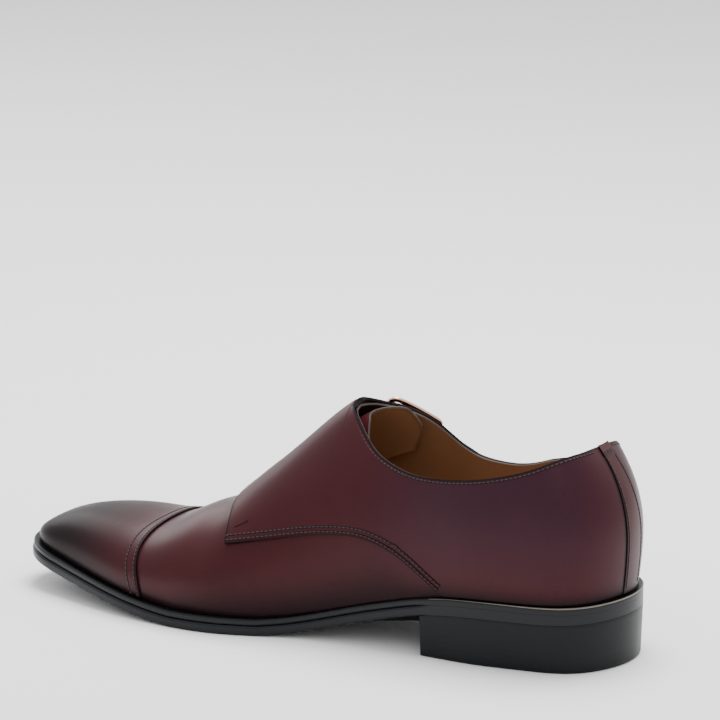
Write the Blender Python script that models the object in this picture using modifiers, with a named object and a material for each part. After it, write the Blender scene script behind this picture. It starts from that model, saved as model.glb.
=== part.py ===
"""Men's double monk strap shoe, right foot, about EU 42.5.

Metres, +Z up, +X towards the toe and +Y towards the wearer's left, which is
the inner side of this right shoe.  The origin is the middle of the heel's
floor face.  The upper and everything laid on it are read from one function,
form(ring, rise, side), the outside of the last:

    ring   0 at the back of the heel to 1 at the tip of the toe
    rise   0 at the feather line, where the upper meets the welt, to 1 at the ridge
    side   INNER or OUTER half of the shoe

Tables hold shares of the named sizes.  A station is a distance from the back
of the sole as a share of SOLE_LENGTH.
"""
import math

import bmesh
import bpy
import numpy as np
from mathutils import Matrix

# Sole and heel
SOLE_LENGTH = 0.3030
HEEL_WIDTH = 0.0728
WAIST_WIDTH = 0.0750
BALL_WIDTH = 0.1027
TOE_WIDTH = 0.0610
HEEL_LENGTH = 0.0864
HEEL_RISE = 0.0231
TOE_SPRING = 0.0145
OUTSOLE_THICKNESS = 0.0045
WELT_THICKNESS = 0.0027
WELT_WIDTH = 0.0110
WELT_INSET = 0.0006
SOLE_ROUNDING = 0.0005
HEEL_TAPER = 0.0008
HEEL_ROUNDING = 0.0010
INSOLE_THICKNESS = 0.0020

# Upper
INSTEP_HEIGHT = 0.0965
COLLAR_HEIGHT = 0.0970
UPPER_WALL = 0.0014
PANEL_WALL = 0.0013
CAP_WALL = 0.0009
BACKSTAY_WALL = 0.0014
BACKSTAY_WIDTH = 0.0160
TONGUE_THICKNESS = 0.0020
TONGUE_CLEARANCE = 0.0008
TONGUE_DROP = 0.0030
FLAP_LIFT = 0.0012
STRAP_WIDTH = 0.0182

# How the leather lies, as shares of rise
FLAP_LIFTS_AT = 0.62
FLAP_SETTLES = 0.85
STRAP_SETTLES = 0.12
TONGUE_RISES = 1.4

# Buckles
BUCKLE_LENGTH = 0.0260
BUCKLE_BAR = 0.0028
BUCKLE_THICKNESS = 0.0016
BUCKLE_CORNER = 0.0040
SIDE_SHARES = (0.33, 0.67)
PIN_DIAMETER = 0.0018

# Clearance between neighbouring pieces
GAP = 0.0003
CURVED_GAP = 0.0004

INNER = 1
OUTER = -1

# station, width, inner share and outer share of that width
OUTLINE = (
    (0.000, HEEL_WIDTH, 0.000, 0.000),
    (0.012, HEEL_WIDTH, 0.236, 0.226),
    (0.040, HEEL_WIDTH, 0.407, 0.388),
    (0.085, HEEL_WIDTH, 0.500, 0.475),
    (0.140, HEEL_WIDTH, 0.530, 0.485),
    (0.200, HEEL_WIDTH, 0.548, 0.478),
    (0.280, HEEL_WIDTH, 0.525, 0.482),
    (0.400, WAIST_WIDTH, 0.493, 0.507),
    (0.500, BALL_WIDTH, 0.398, 0.419),
    (0.600, BALL_WIDTH, 0.482, 0.487),
    (0.680, BALL_WIDTH, 0.486, 0.519),
    (0.760, BALL_WIDTH, 0.446, 0.487),
    (0.840, BALL_WIDTH, 0.370, 0.414),
    (0.910, TOE_WIDTH, 0.484, 0.516),
    (0.955, TOE_WIDTH, 0.384, 0.384),
    (0.985, TOE_WIDTH, 0.246, 0.238),
    (1.000, TOE_WIDTH, 0.000, 0.000),
)

# station, height that the row follows, share of it at the underside of the outsole
PROFILE = (
    (0.00, HEEL_RISE, 1.000),
    (0.14, HEEL_RISE, 0.935),
    (0.28, HEEL_RISE, 0.815),
    (0.34, HEEL_RISE, 0.630),
    (0.40, HEEL_RISE, 0.420),
    (0.50, HEEL_RISE, 0.080),
    (0.57, HEEL_RISE, -0.020),
    (0.66, TOE_SPRING, -0.030),
    (0.76, TOE_SPRING, 0.175),
    (0.85, TOE_SPRING, 0.460),
    (0.93, TOE_SPRING, 0.730),
    (1.00, TOE_SPRING, 1.000),
)

# Lengths in the next table are shares of BALL_WIDTH, the ridge of INSTEP_HEIGHT
# station, feather inset inner and outer, ridge height, ridge offset to the inner side,
# swell inner and outer, level of the widest point, fullness inner and outer, lean forward
SECTIONS = (
    (0.000, 0.038, 0.038, 1.220, 0.000, 0.018, 0.018, 0.28, -0.02, -0.02, 0.700),
    (0.050, 0.031, 0.031, 1.230, 0.000, 0.021, 0.021, 0.28, -0.02, -0.02, 0.350),
    (0.130, 0.025, 0.025, 1.240, 0.010, 0.024, 0.024, 0.27, -0.02, -0.02, 0.080),
    (0.260, 0.025, 0.025, 1.225, 0.015, 0.016, 0.019, 0.25, -0.03, -0.03, 0.000),
    (0.360, 0.027, 0.029, 1.150, 0.019, 0.016, 0.019, 0.24, -0.04, -0.04, 0.000),
    (0.445, 0.029, 0.033, 1.034, 0.024, 0.019, 0.021, 0.22, -0.05, -0.05, 0.000),
    (0.495, 0.032, 0.036, 0.900, 0.029, 0.021, 0.021, 0.22, -0.05, -0.05, 0.000),
    (0.545, 0.035, 0.038, 0.756, 0.037, 0.023, 0.021, 0.23, -0.04, -0.05, 0.000),
    (0.594, 0.037, 0.039, 0.635, 0.041, 0.023, 0.021, 0.24, -0.03, -0.05, 0.000),
    (0.634, 0.039, 0.039, 0.550, 0.041, 0.023, 0.021, 0.25, -0.02, -0.05, 0.000),
    (0.680, 0.040, 0.040, 0.494, 0.041, 0.021, 0.019, 0.27, 0.00, -0.05, 0.000),
    (0.740, 0.041, 0.041, 0.411, 0.032, 0.019, 0.017, 0.28, 0.02, -0.03, 0.000),
    (0.825, 0.043, 0.043, 0.384, 0.014, 0.016, 0.016, 0.30, 0.04, 0.02, 0.000),
    (0.908, 0.046, 0.046, 0.370, 0.005, 0.012, 0.012, 0.32, 0.05, 0.05, 0.000),
    (0.955, 0.049, 0.049, 0.335, 0.000, 0.010, 0.010, 0.34, 0.04, 0.04, -0.010),
    (1.000, 0.051, 0.051, 0.272, 0.000, 0.008, 0.008, 0.36, 0.02, 0.02, -0.039),
)

# Lines on the upper: station, height as a share of COLLAR_HEIGHT
THROAT_STATION = 0.440
INNER_TOPLINE = (
    (0.000, 0.964), (0.020, 0.962), (0.040, 0.958), (0.061, 0.949), (0.092, 0.928), (0.121, 0.903),
    (0.148, 0.880), (0.176, 0.860), (0.203, 0.844), (0.230, 0.832), (0.260, 0.823), (0.288, 0.821),
    (0.308, 0.825), (0.327, 0.835), (0.346, 0.852), (0.365, 0.875), (0.380, 0.902), (0.394, 0.936),
    (0.405, 0.965), (0.416, 0.993), (0.425, 1.012), (0.4325, 1.026), (0.4370, 1.032),
)
OUTER_TOPLINE = (
    (0.000, 0.964), (0.019, 0.957), (0.042, 0.940), (0.067, 0.918), (0.098, 0.888), (0.121, 0.860), (0.142, 0.833),
    (0.163, 0.810), (0.184, 0.787), (0.204, 0.767), (0.223, 0.753), (0.242, 0.747), (0.262, 0.749),
    (0.281, 0.758), (0.299, 0.778), (0.317, 0.811), (0.333, 0.858), (0.347, 0.912), (0.365, 0.962),
    (0.385, 0.996), (0.410, 1.020), (0.425, 1.028), (0.4370, 1.032),
)
INNER_SEAM = (
    (0.262, 0.265), (0.289, 0.375), (0.319, 0.462), (0.364, 0.524), (0.401, 0.541),
    (0.471, 0.515), (0.537, 0.468), (0.600, 0.400),
)
OUTER_SEAM = (
    (0.318, 0.190), (0.345, 0.262), (0.390, 0.325), (0.450, 0.370), (0.510, 0.410), (0.558, 0.468),
)
OUTER_QUARTER_FRONT = (
    (0.415, 0.930), (0.450, 0.860), (0.490, 0.740), (0.530, 0.600), (0.555, 0.530),
)
SEAM_START = {INNER: 0.245, OUTER: 0.300}
FLAP_TURN_STATION = 0.500
FLAP_SETTLE_STATIONS = (0.560, 0.620)
FLAP_CORNER_STATION = 0.595
FLAP_RIDGE_STATION = 0.620

# Straps on the outer side, rear edge then front edge: station, share of COLLAR_HEIGHT
UPPER_STRAP = (
    (0.4400, 1.036, 0.512, 0.856),
    (0.4150, 1.008, 0.464, 0.836),
    (0.3750, 0.925, 0.421, 0.760),
    (0.3370, 0.840, 0.382, 0.682),
    (0.3020, 0.768, 0.345, 0.615),
    (0.2740, 0.717, 0.312, 0.566),
)
LOWER_STRAP = (
    (0.5450, 0.760, 0.620, 0.610),
    (0.5200, 0.722, 0.585, 0.548),
    (0.4800, 0.652, 0.545, 0.470),
    (0.4400, 0.590, 0.497, 0.415),
    (0.4020, 0.528, 0.452, 0.358),
    (0.3700, 0.476, 0.412, 0.310),
)
STRAP_TAPER = 0.30
STRAP_POINT = 0.32

# Share of each strap's length at its buckle's pin, and the strap's hump over the pin
UPPER_BUCKLE_AT = 0.46
LOWER_BUCKLE_AT = 0.60
HUMP_REACH = 0.0052
HUMP_CLEARANCE = 1.06
HUMP_ROWS = (-2.2, -1.7, -1.25, -0.85, -0.45, 0.0, 0.45, 0.85, 1.25, 1.7, 2.2)

# Tongue: station of its free edge on the inner side, ridge and outer side, and its front
TONGUE_EDGE = (
    (0.62, 0.398), (0.80, 0.405), (1.00, 0.413), (1.15, 0.396), (1.26, 0.385), (1.38, 0.383), (1.48, 0.390),
)
TONGUE_FRONT_STATION = 0.600

CAP_EDGE = ((0.00, 0.740), (0.35, 0.750), (0.70, 0.755), (1.00, 0.750))

# Panels start this far above the lower edge of the upper
PANEL_LIFT = 0.0008

# The ridge runs to the middle where the shoe is narrower than this share of BALL_WIDTH
RIDGE_CENTRING = 0.2

# Where the upper's rings change their spacing, closest at the throat
THROAT_RINGS = (0.345, 0.425, 0.4325, 0.4370)

SOLE_RINGS = 46
HEEL_RINGS = 16
UPPER_BACK_RINGS = 18
UPPER_SIDE_RINGS = 6
UPPER_FRONT_RINGS = 25
PANEL_ROWS = 10
TONGUE_COLUMNS = 15
TONGUE_ROWS = 12


def ring_of(station):
    """Ring of a station: rings crowd together at the heel and the toe."""
    return np.arccos(np.clip(1 - 2 * np.asarray(station, float), -1, 1)) / math.pi


def station_of(ring):
    """Station of a ring."""
    return (1 - np.cos(math.pi * np.asarray(ring, float))) / 2


def spline(knots, values, at, level_ends=True):
    """Smooth cubic through the knots, with level or free ends."""
    knots = np.asarray(knots, float)
    values = np.asarray(values, float)
    at = np.asarray(at, float)
    count = len(knots)
    step = np.diff(knots)
    slope = np.diff(values) / step
    system = np.zeros((count, count))
    target = np.zeros(count)
    for i in range(1, count - 1):
        system[i, i - 1:i + 2] = step[i - 1], 2 * (step[i - 1] + step[i]), step[i]
        target[i] = 6 * (slope[i] - slope[i - 1])
    if level_ends:
        system[0, :2] = 2 * step[0], step[0]
        system[-1, -2:] = step[-1], 2 * step[-1]
        target[0] = 6 * slope[0]
        target[-1] = -6 * slope[-1]
    else:
        system[0, 0] = 1
        system[-1, -1] = 1
    bend = np.linalg.solve(system, target)
    k = np.clip(np.searchsorted(knots, at) - 1, 0, count - 2)
    u = at - knots[k]
    linear = slope[k] - step[k] * (2 * bend[k] + bend[k + 1]) / 6
    return values[k] + u * linear + u ** 2 * bend[k] / 2 + u ** 3 * (bend[k + 1] - bend[k]) / (6 * step[k])


def column(table, index, ring, level_ends=True):
    """One column of a table of stations, read at the rings."""
    knots = ring_of([row[0] for row in table])
    return spline(knots, [row[index] for row in table], ring, level_ends)


def line(points, station):
    """Second column of a short line, read between its points."""
    return np.interp(station, [p[0] for p in points], [p[1] for p in points])


def half_width(ring, side):
    """Half width of the sole on one side."""
    share = 2 if side == INNER else 3
    knots = ring_of([row[0] for row in OUTLINE])
    return spline(knots, [row[1] * row[share] for row in OUTLINE], ring, level_ends=False)


def sole_bottom(ring):
    """Height of the outsole's underside: flat on the floor under the ball."""
    knots = ring_of([row[0] for row in PROFILE])
    height = spline(knots, [row[1] * row[2] for row in PROFILE], ring)
    return np.maximum(height, 0.0)


def feather_height(ring):
    """Height of the lower edge of the upper, just above the welt."""
    return sole_bottom(ring) + OUTSOLE_THICKNESS + WELT_THICKNESS + 2 * GAP


def edge_point(ring, side):
    """Distance along and across the shoe of the sole's edge, read past both ends."""
    turned = np.where(ring < 0, -ring, np.where(ring > 1, 2 - ring, ring))
    across = np.where((ring < 0) | (ring > 1), -half_width(turned, -side), half_width(turned, side))
    return SOLE_LENGTH * station_of(turned), across


def outline(ring, side, inset=0.0):
    """Point of the sole's outline moved inwards by inset, and its outward direction."""
    ring = np.asarray(ring, float)
    reach = 1e-4
    x, across = edge_point(ring, side)
    x_after, across_after = edge_point(ring + reach, side)
    x_before, across_before = edge_point(ring - reach, side)
    dx = x_after - x_before
    dy = across_after - across_before
    length = np.hypot(dx, dy)
    out_x = -dy / length
    out_y = dx / length
    return x - inset * out_x, side * (across - inset * out_y), out_x, side * out_y


def half_form(ring, rise, side):
    """Outside of the last on one half of the shoe."""
    pick = 0 if side == INNER else 1
    inset = column(SECTIONS, 1 + pick, ring) * BALL_WIDTH
    ridge_z = column(SECTIONS, 3, ring) * INSTEP_HEIGHT
    ridge_y = column(SECTIONS, 4, ring) * BALL_WIDTH
    swell = column(SECTIONS, 5 + pick, ring) * BALL_WIDTH
    level = column(SECTIONS, 7, ring)
    fullness = column(SECTIONS, 8 + pick, ring)
    lean = column(SECTIONS, 10, ring) * INSTEP_HEIGHT
    foot_x, foot_y, out_x, out_y = outline(ring, side, inset)
    foot_z = feather_height(ring_of(foot_x / SOLE_LENGTH))
    wide_x = foot_x + out_x * swell
    wide_y = foot_y + out_y * swell
    wide_z = foot_z + level * (ridge_z - foot_z)
    top_x = foot_x + lean
    top_y = ridge_y * np.minimum(1.0, np.abs(foot_y) / (RIDGE_CENTRING * BALL_WIDTH))
    low = wide_z - foot_z
    reach = (wide_x - top_x) ** 2 + (wide_y - top_y) ** 2 + (ridge_z - wide_z) ** 2
    split = low / (low + (math.pi / 2) * np.sqrt(reach / 2))
    lower = np.clip(rise / split, 0, 1)
    turn = math.pi / 2 * np.clip((rise - split) / (1 - split), 0, 1)
    radius = 1 + fullness * np.sin(2 * turn) ** 2
    out = np.cos(turn) * radius
    up = np.sin(turn) * radius
    bulge = swell * np.sin(math.pi / 2 * lower)
    below = rise < split
    x = np.where(below, foot_x + out_x * bulge, top_x + (wide_x - top_x) * out)
    y = np.where(below, foot_y + out_y * bulge, top_y + (wide_y - top_y) * out)
    z = np.where(below, foot_z + low * lower, wide_z + (ridge_z - wide_z) * up)
    return np.stack([x, y, z], -1)


def form(ring, rise, side):
    """Outside of the last, going on over the ridge and round both ends."""
    ring, rise, side = np.broadcast_arrays(
        np.asarray(ring, float), np.asarray(rise, float), np.asarray(side, float))
    past = ((ring < 0) | (ring > 1)) ^ (rise > 1)
    near_ring = np.where(ring < 0, -ring, np.where(ring > 1, 2 - ring, ring))
    near_rise = np.where(rise > 1, 2 - rise, rise)
    near_side = np.where(past, -side, side)
    inner = half_form(near_ring, near_rise, INNER)
    outer = half_form(near_ring, near_rise, OUTER)
    return np.where((near_side > 0)[..., None], inner, outer)


def outward(ring, rise, side):
    """Unit vectors pointing out of the last."""
    reach = 2e-3
    along = form(ring + reach, rise, side) - form(ring - reach, rise, side)
    rise_low = np.maximum(rise - reach, 0)
    upward = form(ring, rise + reach, side) - form(ring, rise_low, side)
    vector = np.cross(upward, along) * np.asarray(side, float)[..., None]
    return vector / np.linalg.norm(vector, axis=-1, keepdims=True)


def skin(ring, rise, side, offset):
    """Points at an offset outside the last."""
    ring, rise, offset = np.broadcast_arrays(
        np.asarray(ring, float), np.asarray(rise, float), np.asarray(offset, float))
    side = np.full(ring.shape, float(side))
    return form(ring, rise, side) + outward(ring, rise, side) * offset[..., None]


def rise_at(ring, height, side):
    """Rise where the side of the last is at a height, 1 where it doesn't get there."""
    samples = np.linspace(0, 1, 161)
    rings = np.atleast_1d(ring)
    heights = np.broadcast_to(height, rings.shape)
    found = np.empty(rings.shape)
    for i in range(len(rings)):
        levels = half_form(np.full(samples.shape, rings[i]), samples, side)[:, 2]
        found[i] = np.interp(heights[i], levels, samples)
    return found


def low_rise(ring, side):
    """Rise of a panel's lower edge, a little above the lower edge of the upper."""
    samples = np.linspace(0, 1, 31)
    points = half_form(np.asarray(ring)[..., None] + 0 * samples, 0 * ring[..., None] + samples, side)
    girth = np.linalg.norm(np.diff(points, axis=-2), axis=-1).sum(-1)
    return PANEL_LIFT / girth


def topline_rise(ring, side):
    """Rise of the collar's edge, and 1 in front of the throat."""
    table = INNER_TOPLINE if side == INNER else OUTER_TOPLINE
    height = line(table, station_of(ring)) * COLLAR_HEIGHT
    found = rise_at(ring, height, side)
    return np.where(station_of(ring) >= THROAT_STATION - 1e-6, 1.0, found)


def seam_rise(ring, side):
    """Rise of a quarter's lower edge, 0 behind the heel breast."""
    table = INNER_SEAM if side == INNER else OUTER_SEAM
    station = station_of(ring)
    start = SEAM_START[side]
    points = ((start, float(feather_height(ring_of(start))) / COLLAR_HEIGHT),) + table
    found = rise_at(ring, line(points, station) * COLLAR_HEIGHT, side)
    lowest = low_rise(ring, side)
    return np.where(station <= start, lowest, np.maximum(found, lowest))


def rings_between(start, end, count):
    """Rings from one station to another, evenly spaced as rings."""
    return np.linspace(float(ring_of(start)), float(ring_of(end)), count)


def heel_ring(distance):
    """Ring where the feather line is a distance away from the back seam."""
    rings = np.linspace(0, 0.3, 121)
    x, y, _, _ = outline(rings, INNER)
    along = np.concatenate([[0], np.cumsum(np.hypot(np.diff(x), np.diff(y)))])
    return float(np.interp(distance, along, rings))


def clear_scene():
    """Start from an empty file."""
    for item in list(bpy.data.objects):
        bpy.data.objects.remove(item, do_unlink=True)
    for mesh in list(bpy.data.meshes):
        bpy.data.meshes.remove(mesh)


def collection(name):
    """New collection linked to the scene."""
    group = bpy.data.collections.new(name)
    bpy.context.scene.collection.children.link(group)
    return group


def material(name, color, roughness, metallic=0.0):
    """Principled material of one colour."""
    made = bpy.data.materials.new(name)
    made.use_nodes = True
    shader = made.node_tree.nodes["Principled BSDF"]
    shader.inputs["Base Color"].default_value = (*color, 1.0)
    shader.inputs["Roughness"].default_value = roughness
    shader.inputs["Metallic"].default_value = metallic
    return made


def grid_faces(rows, columns, start=0):
    """Quads of a grid stored row by row."""
    faces = []
    for r in range(rows - 1):
        for c in range(columns - 1):
            a = start + r * columns + c
            faces.append((a, a + 1, a + columns + 1, a + columns))
    return faces


def sheet_mesh(name, patches):
    """Open mesh of grids whose shared edges are welded, outer sides flipped to face out."""
    mesh = bpy.data.meshes.new(name)
    points = []
    faces = []
    for grid, side in patches:
        rows, columns = grid.shape[:2]
        made = grid_faces(rows, columns, len(points))
        if side == INNER:
            made = [face[::-1] for face in made]
        points.extend(grid.reshape(-1, 3).tolist())
        faces.extend(made)
    mesh.from_pydata(points, [], faces)
    work = bmesh.new()
    work.from_mesh(mesh)
    bmesh.ops.remove_doubles(work, verts=work.verts, dist=1e-5)
    bmesh.ops.dissolve_degenerate(work, edges=work.edges, dist=1e-5)
    work.to_mesh(mesh)
    work.free()
    return mesh


def place(name, mesh, group, finish):
    """Object of a mesh, moved so that the origin is the middle of the heel's face."""
    mesh.transform(Matrix.Translation((-HEEL_LENGTH / 2, 0, 0)))
    mesh.materials.append(finish)
    item = bpy.data.objects.new(name, mesh)
    group.objects.link(item)
    mesh.shade_smooth()
    return item


def leather(name, patches, thickness, direction, group, finish):
    """Sheet of leather with a wall laid on its patches, inwards -1 or outwards 1."""
    item = place(name, sheet_mesh(name, patches), group, finish)
    wall = item.modifiers.new("wall", "SOLIDIFY")
    wall.thickness = thickness
    wall.offset = direction
    wall.use_even_offset = True
    wall.use_rim = True
    return item


def side_faces(count, size, closed):
    """Quads between closed loops of points, and from the last loop back to the first if closed."""
    faces = []
    for r in range(count if closed else count - 1):
        above = ((r + 1) % count) * size
        for c in range(size):
            after = (c + 1) % size
            faces.append((r * size + c, r * size + after, above + after, above + c))
    return faces


def cap_faces(base, size, shift):
    """Faces across a closed loop, each from one half of it to the other."""
    faces = []
    for c in range(size // 2):
        pair = (c, c + 1, size - c - 1 - shift, size - c - shift)
        face = list(dict.fromkeys(base + index % size for index in pair))
        if len(face) > 2:
            faces.append(face)
    return faces


def solid(name, loops, caps, group, finish):
    """Solid of loops of points: a stack with caps, or a ring without."""
    count = len(loops)
    size = len(loops[0])
    faces = side_faces(count, size, closed=caps is None)
    if caps is not None:
        faces += cap_faces(0, size, caps)
        faces += cap_faces((count - 1) * size, size, caps)
    mesh = bpy.data.meshes.new(name)
    mesh.from_pydata(np.concatenate(loops).tolist(), [], faces)
    work = bmesh.new()
    work.from_mesh(mesh)
    bmesh.ops.recalc_face_normals(work, faces=work.faces)
    work.to_mesh(mesh)
    work.free()
    return place(name, mesh, group, finish)


def round_outline(rings, inset, height):
    """Closed outline of the sole, the outer side and then the inner side back.

    The inset is one length, or a pair of lengths along the inner and outer side.
    """
    inset_in, inset_out = inset if isinstance(inset, tuple) else (inset, inset)
    x_in, y_in, _, _ = outline(rings, INNER, inset_in)
    x_out, y_out, _, _ = outline(rings, OUTER, inset_out)
    y_in[[0, -1]] = 0.0
    y_out[[0, -1]] = 0.0
    inner = np.stack([x_in, y_in, height(ring_of(x_in / SOLE_LENGTH))], -1)
    outer = np.stack([x_out, y_out, height(ring_of(x_out / SOLE_LENGTH))], -1)
    return np.concatenate([outer[:-1], inner[::-1][:-1]])


def build_outsole(group, finish):
    """Leather outsole with rounded edges."""
    rings = np.linspace(0, 1, SOLE_RINGS)
    rim = SOLE_ROUNDING
    levels = (
        (rim, 0.0), (0.0, rim), (0.0, OUTSOLE_THICKNESS - rim), (rim, OUTSOLE_THICKNESS),
    )
    loops = [round_outline(rings, inset, lambda r, up=up: sole_bottom(r) + up) for inset, up in levels]
    return solid("outsole", loops, 0, group, finish)


def build_welt(group, finish):
    """Welt: a flat strip all the way round between outsole and upper."""
    rings = np.linspace(0, 1, SOLE_RINGS)
    base = OUTSOLE_THICKNESS + GAP
    top = base + WELT_THICKNESS
    levels = ((WELT_WIDTH, base), (WELT_INSET, base), (WELT_INSET, top), (WELT_WIDTH, top))
    loops = [round_outline(rings, inset, lambda r, up=up: sole_bottom(r) + up) for inset, up in levels]
    return solid("welt", loops, None, group, finish)


def heel_outline(count, inset, height):
    """Closed outline of the heel, its breast straight across."""
    end = float(ring_of(HEEL_LENGTH / SOLE_LENGTH))
    rings = np.linspace(0, end, count)
    x_in, y_in, _, _ = outline(rings, INNER, inset)
    x_out, y_out, _, _ = outline(rings, OUTER, inset)
    y_in[0] = 0.0
    y_out[0] = 0.0
    inner = np.stack([x_in, y_in, height(ring_of(x_in / SOLE_LENGTH))], -1)
    outer = np.stack([x_out, y_out, height(ring_of(x_out / SOLE_LENGTH))], -1)
    return np.concatenate([inner[::-1], outer[1:]])


def build_heel(group, finish):
    """Heel block from the floor to the underside of the seat, one cast shape."""
    levels = (
        (HEEL_TAPER + HEEL_ROUNDING, 0.0),
        (HEEL_TAPER, HEEL_ROUNDING),
    )
    loops = [heel_outline(HEEL_RINGS, inset, lambda r, up=up: np.full(r.shape, up)) for inset, up in levels]
    loops.append(heel_outline(HEEL_RINGS, WELT_INSET, lambda r: sole_bottom(r) - GAP))
    return solid("heel", loops, 1, group, finish)


def build_insole(group, finish):
    """Insole lying inside the lower edge of the upper."""
    rings = np.linspace(0, 1, SOLE_RINGS)
    inset = tuple(column(SECTIONS, share, rings) * BALL_WIDTH + UPPER_WALL + 2 * GAP for share in (1, 2))
    base = OUTSOLE_THICKNESS + WELT_THICKNESS + 2 * GAP
    loops = [
        round_outline(rings, inset, lambda r: sole_bottom(r) + base),
        round_outline(rings, inset, lambda r: sole_bottom(r) + base + INSOLE_THICKNESS),
    ]
    return solid("insole", loops, 0, group, finish)


def upper_rings():
    """Rings of the upper's grid, close together at the throat and at both ends."""
    return np.concatenate([
        rings_between(0.0, THROAT_RINGS[0], UPPER_BACK_RINGS)[:-1],
        rings_between(THROAT_RINGS[0], THROAT_RINGS[1], UPPER_SIDE_RINGS)[:-1],
        ring_of(THROAT_RINGS[1:]),
        rings_between(THROAT_STATION, 1.0, UPPER_FRONT_RINGS),
    ])


def rings_from(start, end):
    """The upper's own rings between two rings, with those two at the ends."""
    rings = upper_rings()
    margin = 0.004
    inside = rings[(rings > start + margin) & (rings < end - margin)]
    return np.concatenate([[start], inside, [end]])


def upper_patch(side, rings):
    """One half of the upper, feather to collar or ridge."""
    shares = np.linspace(0, 1, PANEL_ROWS + 1)
    rise = shares[:, None] * topline_rise(rings, side)[None, :]
    ring = np.broadcast_to(rings, rise.shape)
    return skin(ring, rise, side, 0.0)


def weld_ends(grids):
    """Make both halves meet exactly on the back seam, the toe's tip and the ridge."""
    inner, outer = grids
    for column_index in (0, -1):
        both = (inner[:, column_index] + outer[:, column_index]) / 2
        both[:, 1] = 0.0
        inner[:, column_index] = both
        outer[:, column_index] = both
    return inner, outer


def build_upper(group, finish):
    """The upper: one hollow wall, open at the collar and underneath."""
    rings = upper_rings()
    inner, outer = weld_ends([upper_patch(side, rings) for side in (INNER, OUTER)])
    closed = station_of(rings) >= THROAT_STATION - 1e-6
    ridge = (inner[-1, closed] + outer[-1, closed]) / 2
    inner[-1, closed] = ridge
    outer[-1, closed] = ridge
    return leather("upper", [(inner, INNER), (outer, OUTER)], UPPER_WALL, -1, group, finish)


def build_toe_cap(group, finish):
    """Straight toe cap laid over the front of the upper."""
    shares = np.linspace(0, 1, PANEL_ROWS)
    edge = ring_of(line(CAP_EDGE, shares))
    rings = rings_from(float(ring_of(CAP_EDGE[-1][1])), 1.0)
    back = rings[0]
    step = rings[2] - back
    pull = np.clip((rings[2] - rings) / step, 0, 1)
    ring = rings[None, :] + (edge[:, None] - back) * pull[None, :]
    low = low_rise(rings, INNER)[None, :]
    rise = low + (1 - low) * shares[:, None]
    inner = skin(ring, rise, INNER, CURVED_GAP)
    outer = skin(ring, rise, OUTER, CURVED_GAP)
    inner, outer = weld_tip(inner, outer)
    return leather("toe_cap", [(inner, INNER), (outer, OUTER)], CAP_WALL, 1, group, finish)


def weld_tip(inner, outer):
    """Join two halves on the toe's tip and along the ridge."""
    tip = (inner[:, -1] + outer[:, -1]) / 2
    tip[:, 1] = 0.0
    inner[:, -1] = tip
    outer[:, -1] = tip
    ridge = (inner[-1] + outer[-1]) / 2
    inner[-1] = ridge
    outer[-1] = ridge
    return inner, outer


def smooth_step(value):
    """0 to 1 with level ends."""
    value = np.clip(value, 0, 1)
    return value * value * (3 - 2 * value)


def flap_offset(ring, rise):
    """Inner face of the flap: it lifts towards the ridge and settles again at its front edge."""
    first, last = FLAP_SETTLE_STATIONS
    settled = FLAP_SETTLES * smooth_step((station_of(ring) - first) / (last - first))
    lifted = smooth_step((rise - FLAP_LIFTS_AT) / (1 - FLAP_LIFTS_AT))
    return CURVED_GAP + FLAP_LIFT * (1 - settled) * lifted


def strap_offset(ring, rise):
    """Inner face of a strap on the outer side, over the outer quarter by one wall."""
    over = 2 * CURVED_GAP + PANEL_WALL
    start = flap_offset(ring, 1.0)
    return start + (over - start) * smooth_step((1 - rise) / STRAP_SETTLES)


def strap_course(table, buckle_at):
    """Edges of a strap as rings and rises, its width, the distance along it and its pin's place."""
    keys = np.linspace(0, 1, len(table))
    rows = np.linspace(0, 1, 61)
    course = {}
    for edge, first in (("rear", 0), ("front", 2)):
        knots = ring_of([row[first] for row in table])
        knots[0] = upper_rings()[np.argmin(np.abs(upper_rings() - knots[0]))]
        ring = spline(keys, knots, rows, level_ends=False)
        height = spline(keys, [row[first + 1] for row in table], rows, level_ends=False)
        rise = rise_at(ring, height * COLLAR_HEIGHT, OUTER)
        rise[0] = 1.0
        course[edge] = np.stack([ring, rise])
    rear = skin(*course["rear"], OUTER, 0.0)
    front = skin(*course["front"], OUTER, 0.0)
    middle = (rear + front) / 2
    course["width"] = np.linalg.norm(front - rear, axis=1)
    course["along"] = np.concatenate([[0], np.cumsum(np.linalg.norm(np.diff(middle, axis=0), axis=1))])
    course["pin"] = buckle_at * course["along"][-1]
    return course


def strap_spot(course, along, across):
    """Ring and rise of a spot: a distance along the strap and one across from its middle."""
    rear = [np.interp(along, course["along"], values) for values in course["rear"]]
    front = [np.interp(along, course["along"], values) for values in course["front"]]
    share = 0.5 + across / np.interp(along, course["along"], course["width"])
    ring = rear[0] + (front[0] - rear[0]) * share
    rise = rear[1] + (front[1] - rear[1]) * share
    return ring, rise


def buckle_level():
    """Height of a buckle's middle plane over the last."""
    strap_top = 2 * CURVED_GAP + 2 * PANEL_WALL
    return strap_top + 2 * GAP + BUCKLE_THICKNESS / 2


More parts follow.
